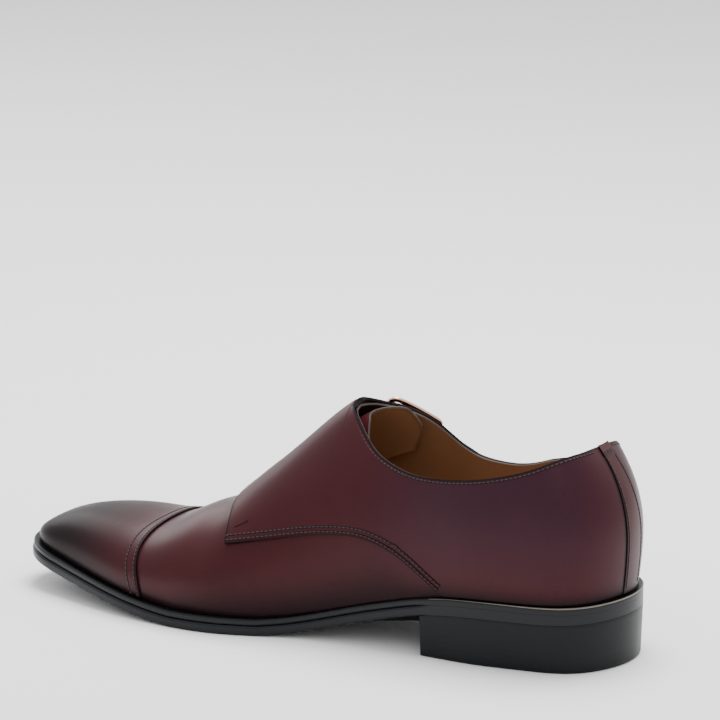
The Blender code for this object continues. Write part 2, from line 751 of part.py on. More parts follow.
def strap_grid(course, columns):
    """Inner face of a strap: tapered, pointed at its end and humped over the pin."""
    length = course["along"][-1]
    pin = course["pin"]
    reach = HUMP_REACH * np.array(HUMP_ROWS)
    along = np.concatenate([
        np.linspace(0, pin + reach[0], 7)[:-1], pin + reach, np.linspace(pin + reach[-1], length, 5)[1:],
    ])
    root = np.interp(along, course["along"], course["width"])
    taper = smooth_step(along / (STRAP_TAPER * length))
    width = root + (STRAP_WIDTH - root) * taper
    point = np.clip((along - length + STRAP_WIDTH / 2) / (STRAP_WIDTH / 2), 0, 1)
    width = width * (1 - 2 * STRAP_POINT * point ** 2)
    share = np.linspace(-0.5, 0.5, columns)
    along = np.broadcast_to(along[:, None], (len(along), columns))
    ring, rise = strap_spot(course, along, width[:, None] * share[None, :])
    clear = buckle_level() + PIN_DIAMETER / 2 + GAP - 2 * CURVED_GAP - PANEL_WALL
    hump = HUMP_CLEARANCE * clear * np.exp(-((along - pin) / HUMP_REACH) ** 2)
    return skin(ring, rise, OUTER, strap_offset(ring, rise) + hump)


def build_inner_quarter(courses, group, finish):
    """Inner quarter with its flap over the instep and two straps on the outer side."""
    back = heel_ring(BACKSTAY_WIDTH / 2 + CURVED_GAP)
    shares = np.linspace(0, 1, PANEL_ROWS)
    front = float(ring_of(FLAP_RIDGE_STATION))
    rings = rings_from(back, front)
    turn = float(ring_of(FLAP_TURN_STATION))
    slant = front - float(ring_of(FLAP_CORNER_STATION))
    ahead = np.clip((rings - turn) / (front - turn), 0, 1)
    ring = rings[None, :] - slant * (1 - shares[:, None] ** 3) * ahead[None, :]
    low = seam_rise(ring[0], INNER)
    high = topline_rise(rings, INNER)
    rise = low[None, :] + (high - low)[None, :] * shares[:, None]
    body = skin(ring, rise, INNER, flap_offset(ring, rise))
    patches = [(body, INNER)]
    for course in courses:
        first = course["rear"][0, 0] - 1e-4
        last = course["front"][0, 0] + 1e-4
        picked = np.flatnonzero((rings >= first) & (rings <= last))
        strap = strap_grid(course, len(picked))
        strap[0] = body[-1, picked]
        patches.append((strap, INNER))
    return leather("inner_quarter", patches, PANEL_WALL, 1, group, finish)


def build_outer_quarter(group, finish):
    """Outer quarter, its front edge under the straps."""
    back = heel_ring(BACKSTAY_WIDTH / 2 + CURVED_GAP)
    rings = rings_from(back, float(ring_of(OUTER_SEAM[-1][0])))
    low = seam_rise(rings, OUTER)
    stations = station_of(rings)
    top = np.minimum(topline_rise(rings, OUTER), 1.0)
    front = rise_at(rings, line(OUTER_QUARTER_FRONT, stations) * COLLAR_HEIGHT, OUTER)
    high = np.where(stations < OUTER_QUARTER_FRONT[0][0], top, np.minimum(top, front))
    shares = np.linspace(0, 1, PANEL_ROWS)
    rise = low[None, :] + (high - low)[None, :] * shares[:, None]
    ring = np.broadcast_to(rings, rise.shape)
    grid = skin(ring, rise, OUTER, CURVED_GAP)
    return leather("outer_quarter", [(grid, OUTER)], PANEL_WALL, 1, group, finish)


def build_backstay(group, finish):
    """Strip over the back seam from the welt to the collar."""
    reach = heel_ring(BACKSTAY_WIDTH / 2)
    ring = np.linspace(-reach, reach, 7)
    shares = np.linspace(0, 1, PANEL_ROWS + 1)
    top = topline_rise(np.abs(ring), INNER)
    low = low_rise(np.abs(ring), INNER)
    rise = low[None, :] + shares[:, None] * (top - low)[None, :]
    rings = np.broadcast_to(ring, rise.shape)
    grid = skin(rings, rise, INNER, CURVED_GAP)
    return leather("backstay", [(grid, INNER)], BACKSTAY_WALL, 1, group, finish)


def build_tongue(group, finish):
    """Tongue under the straps, its free edge standing in the opening."""
    turns = np.linspace(TONGUE_EDGE[0][0], TONGUE_EDGE[-1][0], TONGUE_COLUMNS)
    edge = ring_of(line(TONGUE_EDGE, turns))
    front = float(ring_of(TONGUE_FRONT_STATION))
    steps = np.linspace(0, 1, TONGUE_ROWS)
    ring = edge[None, :] + (front - edge[None, :]) * steps[:, None]
    rise = np.broadcast_to(turns, ring.shape)
    depth = UPPER_WALL + TONGUE_CLEARANCE + TONGUE_DROP * (1 - smooth_step(steps * TONGUE_RISES))
    grid = skin(ring, rise, INNER, -depth[:, None])
    return leather("tongue", [(grid, OUTER)], TONGUE_THICKNESS, -1, group, finish)


def frame_outline(length, width, corner):
    """Rounded rectangle of a buckle frame as distances along and across, with outward directions."""
    places = []
    for turn, (sx, sy) in enumerate(((1, 1), (-1, 1), (-1, -1), (1, -1))):
        for step in range(4):
            angle = math.pi / 2 * (turn + step / 3)
            aim = np.array([math.cos(angle), math.sin(angle)])
            middle = np.array([sx * (length / 2 - corner), sy * (width / 2 - corner)])
            places.append((middle + corner * aim, aim))
        next_x, next_y = ((-1, 1), (-1, -1), (1, -1), (1, 1))[turn]
        after = np.array([next_x * (length / 2 - corner), next_y * (width / 2 - corner)])
        for share in SIDE_SHARES:
            places.append((middle + corner * aim + (after - middle) * share, aim))
    return places


def build_buckle(name, course, group, finish):
    """Buckle frame bowed to the foot, with a round pin across its middle."""
    pin = course["pin"]
    level = buckle_level()
    width = STRAP_WIDTH + 2 * (BUCKLE_BAR + GAP)
    half = BUCKLE_THICKNESS / 2
    loops = []
    for spot, aim in frame_outline(BUCKLE_LENGTH, width, BUCKLE_CORNER):
        section = []
        for inset, lift in ((0.0, -half), (0.0, half), (BUCKLE_BAR, half), (BUCKLE_BAR, -half)):
            along, across = spot - aim * inset
            ring, rise = strap_spot(course, pin + along, across)
            section.append(skin(ring, rise, OUTER, level + lift))
        loops.append(np.stack(section))
    frame = solid(name, loops, None, group, finish)
    reach = width / 2 - BUCKLE_BAR / 2
    rods = []
    for across in np.linspace(-reach, reach, 5):
        rods.append(rod_section(course, pin, across, level, along_rod=False))
    bar = solid(name + "_pin", rods, 0, group, finish)
    union = frame.modifiers.new("pin", "BOOLEAN")
    union.operation = "UNION"
    union.object = bar
    return frame, bar


def rod_section(course, along, across, level, along_rod):
    """Eight points round a rod that runs along the strap or across it."""
    radius = PIN_DIAMETER / 2
    points = []
    for step in range(8):
        angle = 2 * math.pi * (step + 0.5) / 8
        side = radius * math.cos(angle)
        lift = radius * math.sin(angle)
        if along_rod:
            ring, rise = strap_spot(course, along, across + side)
        else:
            ring, rise = strap_spot(course, along + side, across)
        points.append(skin(ring, rise, OUTER, level + lift))
    return np.stack(points)


def build_prong(name, course, group, finish):
    """Prong lying on the strap's hump, its tip over the frame's front bar."""
    pin = course["pin"]
    radius = PIN_DIAMETER / 2
    rest = buckle_level() + BUCKLE_THICKNESS / 2 + GAP + radius
    root = buckle_level() + radius + PANEL_WALL + 3 * GAP + radius
    loops = []
    for share in np.linspace(0, 1, 5):
        along = pin - share * (BUCKLE_LENGTH / 2 + radius / 2)
        loops.append(rod_section(course, along, 0.0, root + (rest - root) * share, along_rod=True))
    return solid(name, loops, 0, group, finish)


def main():
    """Build every piece of the shoe."""
    clear_scene()
    group = collection("monk_strap_shoe")
    cutters = collection("cutters")
    burgundy = material("burgundy_leather", (0.085, 0.022, 0.028), 0.35)
    vamp = material("vamp_leather", (0.072, 0.020, 0.024), 0.33)
    tan = material("tan_lining", (0.235, 0.120, 0.050), 0.55)
    black = material("black_edge", (0.022, 0.024, 0.028), 0.42)
    gold = material("rose_gold", (0.85, 0.62, 0.47), 0.25, 1.0)
    build_outsole(group, black)
    build_welt(group, black)
    build_heel(group, black)
    build_insole(group, tan)
    build_upper(group, vamp)
    build_toe_cap(group, vamp)
    courses = (strap_course(UPPER_STRAP, UPPER_BUCKLE_AT), strap_course(LOWER_STRAP, LOWER_BUCKLE_AT))
    build_inner_quarter(courses, group, burgundy)
    build_outer_quarter(group, burgundy)
    build_backstay(group, burgundy)
    build_tongue(group, burgundy)
    for name, course in zip(("upper", "lower"), courses):
        _, bar = build_buckle(name + "_buckle", course, group, gold)
        group.objects.unlink(bar)
        cutters.objects.link(bar)
        bar.hide_render = True
        bar.display_type = "WIRE"
        build_prong(name + "_prong", course, group, gold)


main()
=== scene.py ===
"""Looks of a right men's double monk strap shoe in burgundy calf.

Metres, +Z up, +X towards the toe and +Y towards the wearer's left, the inner
side of this right shoe.  Leather pieces are read from one surface, the outside
of the last, in two parameters on each half of the shoe: a ring, 0 at the back
of the heel to 1 at the tip of the toe, and a rise, 0 at the feather line, where
the upper meets the welt, to 1 at the ridge.
"""
import logging
import math
from dataclasses import dataclass, field
from enum import Enum
from types import SimpleNamespace
from typing import Callable, Optional, Sequence

import bmesh
import bpy
import numpy as np
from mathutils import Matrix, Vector

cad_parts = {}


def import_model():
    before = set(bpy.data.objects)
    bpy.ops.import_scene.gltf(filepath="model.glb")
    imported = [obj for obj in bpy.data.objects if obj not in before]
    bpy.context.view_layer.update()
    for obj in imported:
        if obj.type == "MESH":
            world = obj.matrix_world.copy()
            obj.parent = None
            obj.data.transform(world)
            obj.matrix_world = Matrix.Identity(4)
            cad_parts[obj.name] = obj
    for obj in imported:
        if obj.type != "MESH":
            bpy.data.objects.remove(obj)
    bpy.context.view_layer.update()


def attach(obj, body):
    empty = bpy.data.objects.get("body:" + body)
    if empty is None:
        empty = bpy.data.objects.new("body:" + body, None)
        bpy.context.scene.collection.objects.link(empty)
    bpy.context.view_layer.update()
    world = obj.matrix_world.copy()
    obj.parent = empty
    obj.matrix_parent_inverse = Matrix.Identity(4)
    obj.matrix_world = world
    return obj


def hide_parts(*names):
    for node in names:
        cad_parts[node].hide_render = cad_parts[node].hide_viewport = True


Array = np.ndarray
log = logging.getLogger("shoe")

# Named sizes, as the solids have them
SOLE_LENGTH = 0.3030
HEEL_WIDTH = 0.0728
WAIST_WIDTH = 0.0750
BALL_WIDTH = 0.1027
TOE_WIDTH = 0.0610
HEEL_LENGTH = 0.0864
HEEL_RISE = 0.0231
TOE_SPRING = 0.0145
OUTSOLE_THICKNESS = 0.0045
WELT_THICKNESS = 0.0027
WELT_WIDTH = 0.0110
WELT_INSET = 0.0006
INSOLE_THICKNESS = 0.0020
INSTEP_HEIGHT = 0.0965
COLLAR_HEIGHT = 0.0970
UPPER_WALL = 0.0014
PANEL_WALL = 0.0013
CAP_WALL = 0.0009
BACKSTAY_WALL = 0.0014
BACKSTAY_WIDTH = 0.0160
TONGUE_THICKNESS = 0.0020
TONGUE_CLEARANCE = 0.0008
TONGUE_DROP = 0.0030
FLAP_LIFT = 0.0012
STRAP_WIDTH = 0.0182
BUCKLE_LENGTH = 0.0260
BUCKLE_BAR = 0.0028
BUCKLE_THICKNESS = 0.0016
BUCKLE_CORNER = 0.0040
PIN_DIAMETER = 0.0018
GAP = 0.0003
CURVED_GAP = 0.0004
PANEL_LIFT = 0.0008
QUARTER_PRESS = 0.0003

# Easing of the last: share of the width in which the ridge's offset fades, and the
# rings at the toe's tip that take their outward direction from a rise beside it
RIDGE_FADE = 0.2
TIP_RINGS = 0.0025
TIP_RISE = 0.985

# station, width, inner share and outer share of that width
OUTLINE = (
    (0.000, HEEL_WIDTH, 0.000, 0.000),
    (0.012, HEEL_WIDTH, 0.236, 0.226),
    (0.040, HEEL_WIDTH, 0.407, 0.388),
    (0.085, HEEL_WIDTH, 0.500, 0.475),
    (0.140, HEEL_WIDTH, 0.530, 0.485),
    (0.200, HEEL_WIDTH, 0.548, 0.478),
    (0.280, HEEL_WIDTH, 0.525, 0.482),
    (0.400, WAIST_WIDTH, 0.493, 0.507),
    (0.500, BALL_WIDTH, 0.398, 0.419),
    (0.600, BALL_WIDTH, 0.482, 0.487),
    (0.680, BALL_WIDTH, 0.486, 0.519),
    (0.760, BALL_WIDTH, 0.446, 0.487),
    (0.840, BALL_WIDTH, 0.370, 0.414),
    (0.910, TOE_WIDTH, 0.484, 0.516),
    (0.955, TOE_WIDTH, 0.384, 0.384),
    (0.985, TOE_WIDTH, 0.246, 0.238),
    (1.000, TOE_WIDTH, 0.000, 0.000),
)

# station, height that the row follows, share of it at the underside of the outsole
PROFILE = (
    (0.00, HEEL_RISE, 1.000),
    (0.14, HEEL_RISE, 0.935),
    (0.28, HEEL_RISE, 0.815),
    (0.34, HEEL_RISE, 0.630),
    (0.40, HEEL_RISE, 0.420),
    (0.50, HEEL_RISE, 0.080),
    (0.57, HEEL_RISE, -0.020),
    (0.66, TOE_SPRING, -0.030),
    (0.76, TOE_SPRING, 0.175),
    (0.85, TOE_SPRING, 0.460),
    (0.93, TOE_SPRING, 0.730),
    (1.00, TOE_SPRING, 1.000),
)

# station, feather inset inner and outer, ridge height, ridge offset to the inner side,
# swell inner and outer, level of the widest point, fullness inner and outer, lean forward
SECTIONS = (
    (0.000, 0.038, 0.038, 1.220, 0.000, 0.018, 0.018, 0.28, -0.02, -0.02, 0.700),
    (0.050, 0.031, 0.031, 1.230, 0.000, 0.021, 0.021, 0.28, -0.02, -0.02, 0.350),
    (0.130, 0.025, 0.025, 1.240, 0.010, 0.024, 0.024, 0.27, -0.02, -0.02, 0.080),
    (0.260, 0.025, 0.025, 1.225, 0.015, 0.016, 0.019, 0.25, -0.03, -0.03, 0.000),
    (0.360, 0.027, 0.029, 1.150, 0.019, 0.016, 0.019, 0.24, -0.04, -0.04, 0.000),
    (0.445, 0.029, 0.033, 1.034, 0.024, 0.019, 0.021, 0.22, -0.05, -0.05, 0.000),
    (0.495, 0.032, 0.036, 0.900, 0.029, 0.021, 0.021, 0.22, -0.05, -0.05, 0.000),
    (0.545, 0.035, 0.038, 0.756, 0.037, 0.023, 0.021, 0.23, -0.04, -0.05, 0.000),
    (0.594, 0.037, 0.039, 0.635, 0.041, 0.023, 0.021, 0.24, -0.03, -0.05, 0.000),
    (0.634, 0.039, 0.039, 0.550, 0.041, 0.023, 0.021, 0.25, -0.02, -0.05, 0.000),
    (0.680, 0.040, 0.040, 0.494, 0.041, 0.021, 0.019, 0.27, 0.00, -0.05, 0.000),
    (0.740, 0.041, 0.041, 0.411, 0.032, 0.019, 0.017, 0.28, 0.02, -0.03, 0.000),
    (0.825, 0.043, 0.043, 0.384, 0.014, 0.016, 0.016, 0.30, 0.04, 0.02, 0.000),
    (0.908, 0.046, 0.046, 0.370, 0.005, 0.012, 0.012, 0.32, 0.05, 0.05, 0.000),
    (0.955, 0.049, 0.049, 0.335, 0.000, 0.010, 0.010, 0.34, 0.04, 0.04, -0.010),
    (1.000, 0.051, 0.051, 0.272, 0.000, 0.008, 0.008, 0.36, 0.02, 0.02, -0.039),
)

# Lines on the upper: station, height as a share of COLLAR_HEIGHT
THROAT_STATION = 0.440
INNER_TOPLINE = (
    (0.000, 0.966), (0.020, 0.970), (0.040, 0.968), (0.061, 0.958), (0.092, 0.932), (0.121, 0.903),
    (0.148, 0.880), (0.176, 0.860), (0.203, 0.844), (0.230, 0.832), (0.260, 0.823), (0.288, 0.821),
    (0.308, 0.825), (0.327, 0.835), (0.346, 0.852), (0.365, 0.875), (0.380, 0.902), (0.394, 0.936),
    (0.405, 0.965), (0.416, 0.993), (0.425, 1.012), (0.4325, 1.026), (0.4370, 1.032),
)
OUTER_TOPLINE = (
    (0.000, 0.966), (0.019, 0.953), (0.042, 0.931), (0.067, 0.904), (0.098, 0.871), (0.121, 0.843),
    (0.142, 0.819), (0.163, 0.801), (0.184, 0.787), (0.204, 0.767), (0.223, 0.753), (0.242, 0.747),
    (0.262, 0.749), (0.281, 0.756), (0.299, 0.771), (0.317, 0.801), (0.333, 0.842), (0.347, 0.886),
    (0.365, 0.938), (0.385, 0.975), (0.410, 1.006), (0.425, 1.020), (0.4370, 1.032),
)
INNER_SEAM = (
    (0.2510, 0.302), (0.2700, 0.338), (0.2900, 0.383), (0.3180, 0.440), (0.3460, 0.480), (0.3870, 0.509),
    (0.4270, 0.506), (0.4800, 0.482), (0.5300, 0.450), (0.5920, 0.411), (0.6000, 0.405),
)
OUTER_SEAM = (
    (0.318, 0.190), (0.345, 0.262), (0.390, 0.325), (0.450, 0.370), (0.510, 0.410), (0.558, 0.468),
)
OUTER_QUARTER_FRONT = (
    (0.415, 0.930), (0.450, 0.860), (0.490, 0.740), (0.530, 0.600), (0.555, 0.530),
)
FLAP_FRONT = ((0.00, 0.595), (0.45, 0.607), (0.68, 0.612), (0.85, 0.606), (1.00, 0.597))
FLAP_TURN_STATION = 0.500
FLAP_SETTLE_STATIONS = (0.560, 0.610)
FLAP_LIFTS_AT = 0.62
FLAP_SETTLES = 0.50
STRAP_SETTLES = 0.12

# Straps on the outer side, rear edge then front edge: station, share of COLLAR_HEIGHT
UPPER_STRAP = (
    (0.4400, 1.036, 0.512, 0.856),
    (0.4150, 1.008, 0.464, 0.836),
    (0.3750, 0.925, 0.421, 0.760),
    (0.3370, 0.840, 0.382, 0.682),
    (0.3020, 0.768, 0.345, 0.615),
    (0.2740, 0.717, 0.312, 0.566),
)
LOWER_STRAP = (
    (0.5400, 0.760, 0.597, 0.610),
    (0.5200, 0.722, 0.585, 0.548),
    (0.4800, 0.652, 0.545, 0.470),
    (0.4400, 0.590, 0.497, 0.415),
    (0.4020, 0.528, 0.452, 0.358),
    (0.3700, 0.476, 0.412, 0.310),
)
UPPER_BUCKLE_AT = 0.46
LOWER_BUCKLE_AT = 0.60
STRAP_TAPER = 0.30
STRAP_POINT = 0.32
HUMP_REACH = 0.0052

# Tongue: rise and station of its free edge, from the inner side over the ridge
TONGUE_EDGE = (
    (0.62, 0.402), (0.70, 0.408), (0.85, 0.420), (1.00, 0.426), (1.10, 0.407), (1.18, 0.386), (1.28, 0.376),
    (1.39, 0.3745), (1.48, 0.390),
)
TONGUE_FRONT_STATION = 0.600
CAP_EDGE = ((0.00, 0.740), (0.35, 0.750), (0.70, 0.755), (1.00, 0.750))


class Side(Enum):
    """Half of the shoe."""

    INNER = 1.0
    OUTER = -1.0


SEAM_START = {Side.INNER: 0.240, Side.OUTER: 0.300}
BACKSTAY_TAPER = {Side.INNER: 0.72, Side.OUTER: -0.20}
TAPER_RISES = (0.20, 0.80)
TAPER_REACH = 0.08


def ring_of(station: object) -> Array:
    """Ring of a station: the inverse of station_of."""
    return np.arccos(np.clip(1 - 2 * np.asarray(station, float), -1, 1)) / math.pi


def station_of(ring: object) -> Array:
    """Station of a ring: half of one minus the cosine of the ring's half turn."""
    return (1 - np.cos(math.pi * np.asarray(ring, float))) / 2


def smooth_step(value: Array) -> Array:
    """Three squares less two cubes of the value, kept between 0 and 1."""
    value = np.clip(value, 0, 1)
    return value * value * (3 - 2 * value)


def ramp(value: Array, first: float, last: float) -> Array:
    """Smooth step from 0 at the first value to 1 at the last, which may be the lower one."""
    return smooth_step((value - first) / (last - first))


def spline(knots: object, values: object, at: Array, level_ends: bool = True) -> Array:
    """Cubic through the knots whose slope and bend run on from piece to piece.

    Args:
        knots: where the values are given, rising.
        values: value at each knot.
        at: where the curve is read.
        level_ends: whether both ends are level, or else free of bend.

    Returns:
        The curve's values.
    """
    knots = np.asarray(knots, float)
    values = np.asarray(values, float)
    at = np.asarray(at, float)
    count = len(knots)
    step = np.diff(knots)
    slope = np.diff(values) / step
    system = np.zeros((count, count))
    target = np.zeros(count)
    inside = np.arange(1, count - 1)
    system[inside, inside - 1] = step[:-1]
    system[inside, inside] = 2 * (step[:-1] + step[1:])
    system[inside, inside + 1] = step[1:]
    target[inside] = 6 * np.diff(slope)
    if level_ends:
        system[0, :2] = 2 * step[0], step[0]
        system[-1, -2:] = step[-1], 2 * step[-1]
        target[0] = 6 * slope[0]
        target[-1] = -6 * slope[-1]
    else:
        system[0, 0] = 1
        system[-1, -1] = 1
    bend = np.linalg.solve(system, target)
    k = np.clip(np.searchsorted(knots, at) - 1, 0, count - 2)
    u = at - knots[k]
    linear = slope[k] - step[k] * (2 * bend[k] + bend[k + 1]) / 6
    return values[k] + u * linear + u ** 2 * bend[k] / 2 + u ** 3 * (bend[k + 1] - bend[k]) / (6 * step[k])


def column(table: Sequence, index: int, ring: Array) -> Array:
    """One column of a table of stations, read at the rings by a smooth curve."""
    return spline(ring_of([row[0] for row in table]), [row[index] for row in table], ring)


def cap_edge(rise: Array) -> Array:
    """Ring of the toe cap's edge at a rise."""
    return ring_of(spline(*np.transpose(CAP_EDGE), rise))


def flap_front(share: Array) -> Array:
    """Ring of the flap's front edge at a share of its way from the corner to the ridge."""
    shares, stations = np.transpose(FLAP_FRONT)
    return spline(shares, ring_of(stations), share, level_ends=False)


def half_width(ring: Array, side: Side) -> Array:
    """Half width of the sole on one side."""
    share = 2 if side is Side.INNER else 3
    knots = ring_of([row[0] for row in OUTLINE])
    return spline(knots, [row[1] * row[share] for row in OUTLINE], ring, level_ends=False)


def sole_bottom(ring: Array) -> Array:
    """Height of the outsole's underside, flat on the floor under the ball."""
    knots = ring_of([row[0] for row in PROFILE])
    return np.maximum(spline(knots, [row[1] * row[2] for row in PROFILE], ring), 0.0)


def feather_height(ring: Array) -> Array:
    """Height of the lower edge of the upper, just above the welt."""
    return sole_bottom(ring) + OUTSOLE_THICKNESS + WELT_THICKNESS + 2 * GAP


def edge_point(ring: Array, side: Side) -> tuple[Array, Array]:
    """Distance along and across the shoe of the sole's edge, read past both ends."""
    other = Side.OUTER if side is Side.INNER else Side.INNER
    turned = np.where(ring < 0, -ring, np.where(ring > 1, 2 - ring, ring))
    past = (ring < 0) | (ring > 1)
    across = np.where(past, -half_width(turned, other), half_width(turned, side))
    return SOLE_LENGTH * station_of(turned), across


def outline(ring: Array, side: Side, inset: object = 0.0) -> tuple[Array, Array, Array, Array]:
    """Point of the sole's outline moved inwards along its normal.

    Args:
        ring: rings to read.
        side: half of the shoe.
        inset: distance inwards.

    Returns:
        Distance along and across, and both parts of the outward direction.
    """
    ring = np.asarray(ring, float)
    reach = 1e-4
    x, across = edge_point(ring, side)
    x_after, across_after = edge_point(ring + reach, side)
    x_before, across_before = edge_point(ring - reach, side)
    dx = x_after - x_before
    dy = across_after - across_before
    length = np.hypot(dx, dy)
    out_x = -dy / length
    out_y = dx / length
    return x - inset * out_x, side.value * (across - inset * out_y), out_x, side.value * out_y


def half_form(ring: Array, rise: Array, side: Side) -> Array:
    """Outside of the last on one half: a bulged side below, a full quarter oval above it."""
    pick = 0 if side is Side.INNER else 1
    inset = column(SECTIONS, 1 + pick, ring) * BALL_WIDTH
    ridge_z = column(SECTIONS, 3, ring) * INSTEP_HEIGHT
    ridge_y = column(SECTIONS, 4, ring) * BALL_WIDTH
    swell = column(SECTIONS, 5 + pick, ring) * BALL_WIDTH
    level = column(SECTIONS, 7, ring)
    fullness = column(SECTIONS, 8 + pick, ring)
    lean = column(SECTIONS, 10, ring) * INSTEP_HEIGHT
    foot_x, foot_y, out_x, out_y = outline(ring, side, inset)
    foot_z = feather_height(ring_of(foot_x / SOLE_LENGTH))
    wide_x = foot_x + out_x * swell
    wide_y = foot_y + out_y * swell
    wide_z = foot_z + level * (ridge_z - foot_z)
    top_x = foot_x + lean
    top_y = ridge_y * np.minimum(1.0, np.abs(foot_y) / (RIDGE_FADE * BALL_WIDTH))
    low = wide_z - foot_z
    reach = (wide_x - top_x) ** 2 + (wide_y - top_y) ** 2 + (ridge_z - wide_z) ** 2
    split = low / (low + (math.pi / 2) * np.sqrt(reach / 2))
    lower = np.clip(rise / split, 0, 1)
    turn = math.pi / 2 * np.clip((rise - split) / (1 - split), 0, 1)
    radius = 1 + fullness * np.sin(2 * turn) ** 2
    out = np.cos(turn) * radius
    up = np.sin(turn) * radius
    bulge = swell * np.sin(math.pi / 2 * lower)
    below = rise < split
    x = np.where(below, foot_x + out_x * bulge, top_x + (wide_x - top_x) * out)
    y = np.where(below, foot_y + out_y * bulge, top_y + (wide_y - top_y) * out)
    z = np.where(below, foot_z + low * lower, wide_z + (ridge_z - wide_z) * up)
    return np.stack([x, y, z], -1)


def form(ring: Array, rise: Array, side: Side) -> Array:
    """Outside of the last, going on over the ridge and round both ends."""
    ring, rise = np.broadcast_arrays(np.asarray(ring, float), np.asarray(rise, float))
    past = ((ring < 0) | (ring > 1)) ^ (rise > 1)
    near_ring = np.where(ring < 0, -ring, np.where(ring > 1, 2 - ring, ring))
    near_rise = np.where(rise > 1, 2 - rise, rise)
    inner = half_form(near_ring, near_rise, Side.INNER)
    outer = half_form(near_ring, near_rise, Side.OUTER)
    on_inner = past ^ (side is Side.INNER)
    return np.where(on_inner[..., None], inner, outer)


def outward(ring: Array, rise: Array, side: Side) -> Array:
    """Unit vectors out of the last: the cross product of both directions over the surface."""
    reach = 2e-3
    rise = np.where(np.abs(1 - ring) < TIP_RINGS, np.minimum(rise, TIP_RISE), rise)
    along = form(ring + reach, rise, side) - form(ring - reach, rise, side)
    upward = form(ring, rise + reach, side) - form(ring, np.maximum(rise - reach, 0), side)
    vector = np.cross(upward, along) * side.value
    return vector / np.linalg.norm(vector, axis=-1, keepdims=True)


def skin(ring: Array, rise: Array, side: Side, offset: object) -> Array:
    """Points at an offset outside the last."""
    ring, rise, offset = np.broadcast_arrays(
        np.asarray(ring, float), np.asarray(rise, float), np.asarray(offset, float))
    return form(ring, rise, side) + outward(ring, rise, side) * offset[..., None]


def rise_at(ring: Array, height: object, side: Side) -> Array:
    """Rise where the side of the last is at a height, 1 where it doesn't get there."""
    samples = np.linspace(0, 1, 241)
    rings = np.atleast_1d(ring)[:, None] + 0 * samples
    levels = half_form(rings, samples + 0 * rings, side)[..., 2]
    target = np.broadcast_to(height, rings.shape[:1])[:, None]
    after = np.clip((levels < target).sum(1), 1, len(samples) - 1)[:, None]
    low = np.take_along_axis(levels, after - 1, 1)
    high = np.take_along_axis(levels, after, 1)
    share = np.clip((target - low) / (high - low), 0, 1)
    return (samples[after - 1] + share * samples[1])[:, 0]


def low_rise(ring: Array, side: Side) -> Array:
    """Rise of a panel's lower edge, a little above the lower edge of the upper."""
    samples = np.linspace(0, 1, 31)
    points = half_form(np.asarray(ring)[..., None] + 0 * samples, 0 * ring[..., None] + samples, side)
    girth = np.linalg.norm(np.diff(points, axis=-2), axis=-1).sum(-1)
    return PANEL_LIFT / girth


def topline_rise(ring: Array, side: Side) -> Array:
    """Rise of the collar's edge, and 1 in front of the throat."""
    table = INNER_TOPLINE if side is Side.INNER else OUTER_TOPLINE
    height = column(table, 1, np.clip(ring, 0, float(ring_of(table[-1][0]))))
    found = rise_at(ring, height * COLLAR_HEIGHT, side)
    return np.where(station_of(ring) >= THROAT_STATION - 1e-6, 1.0, found)


def seam_rise(ring: Array, side: Side) -> Array:
    """Rise of a quarter's lower edge, down at the welt behind the waist."""
    table = INNER_SEAM if side is Side.INNER else OUTER_SEAM
    station = station_of(ring)
    start = SEAM_START[side]
    points = ((start, float(feather_height(ring_of(start))) / COLLAR_HEIGHT),) + table
    knots = np.array([p[0] for p in points])
    heights = np.array([p[1] for p in points])
    height = spline(knots, heights, np.clip(station, knots[0], knots[-1]), level_ends=False)
    found = rise_at(ring, height * COLLAR_HEIGHT, side)
    lowest = low_rise(ring, side)
    return np.where(station <= start, lowest, np.maximum(found, lowest))


def rings_through(first: float, last: float, count: int, marks: Sequence = ()) -> Array:
    """Even rings from first to last, with each mark in place of the ring nearest to it."""
    rings = np.linspace(first, last, count)
    for mark in marks:
        rings[1 + np.argmin(np.abs(rings[1:-1] - mark))] = mark
    return rings


def heel_ring(distance: float) -> float:
    """Ring where the feather line is a distance away from the back seam."""
    rings = np.linspace(0, 0.3, 241)
    x, y, _, _ = outline(rings, Side.INNER)
    along = np.concatenate([[0], np.cumsum(np.hypot(np.diff(x), np.diff(y)))])
    return float(np.interp(distance, along, rings))


def narrowed(ring: Array, rise: Array, side: Side = Side.INNER) -> Array:
    """Rings near the back seam moved with the backstay, which narrows and leans upwards."""
    outer = (ring < 0) | (side is Side.OUTER)
    taper = np.where(outer, BACKSTAY_TAPER[Side.OUTER], BACKSTAY_TAPER[Side.INNER])
    back = heel_ring(BACKSTAY_WIDTH / 2)
    return ring * (1 - taper * ramp(rise, *TAPER_RISES) * ramp(np.abs(ring), back + TAPER_REACH, back))


def unit(vectors: Array) -> Array:
    """Vectors at length one."""
    return vectors / np.maximum(np.linalg.norm(vectors, axis=-1, keepdims=True), 1e-12)


def run_length(points: Array) -> Array:
    """Distance along a row of points."""
    return np.concatenate([[0], np.cumsum(np.linalg.norm(np.diff(points, axis=0), axis=1))])


def linear(value: str) -> tuple[float, float, float, float]:
    """sRGB hex colour as linear light."""
    shares = [int(value[i:i + 2], 16) / 255 for i in (1, 3, 5)]
    bent = [s / 12.92 if s <= 0.04045 else ((s + 0.055) / 1.055) ** 2.4 for s in shares]
    return (bent[0], bent[1], bent[2], 1.0)


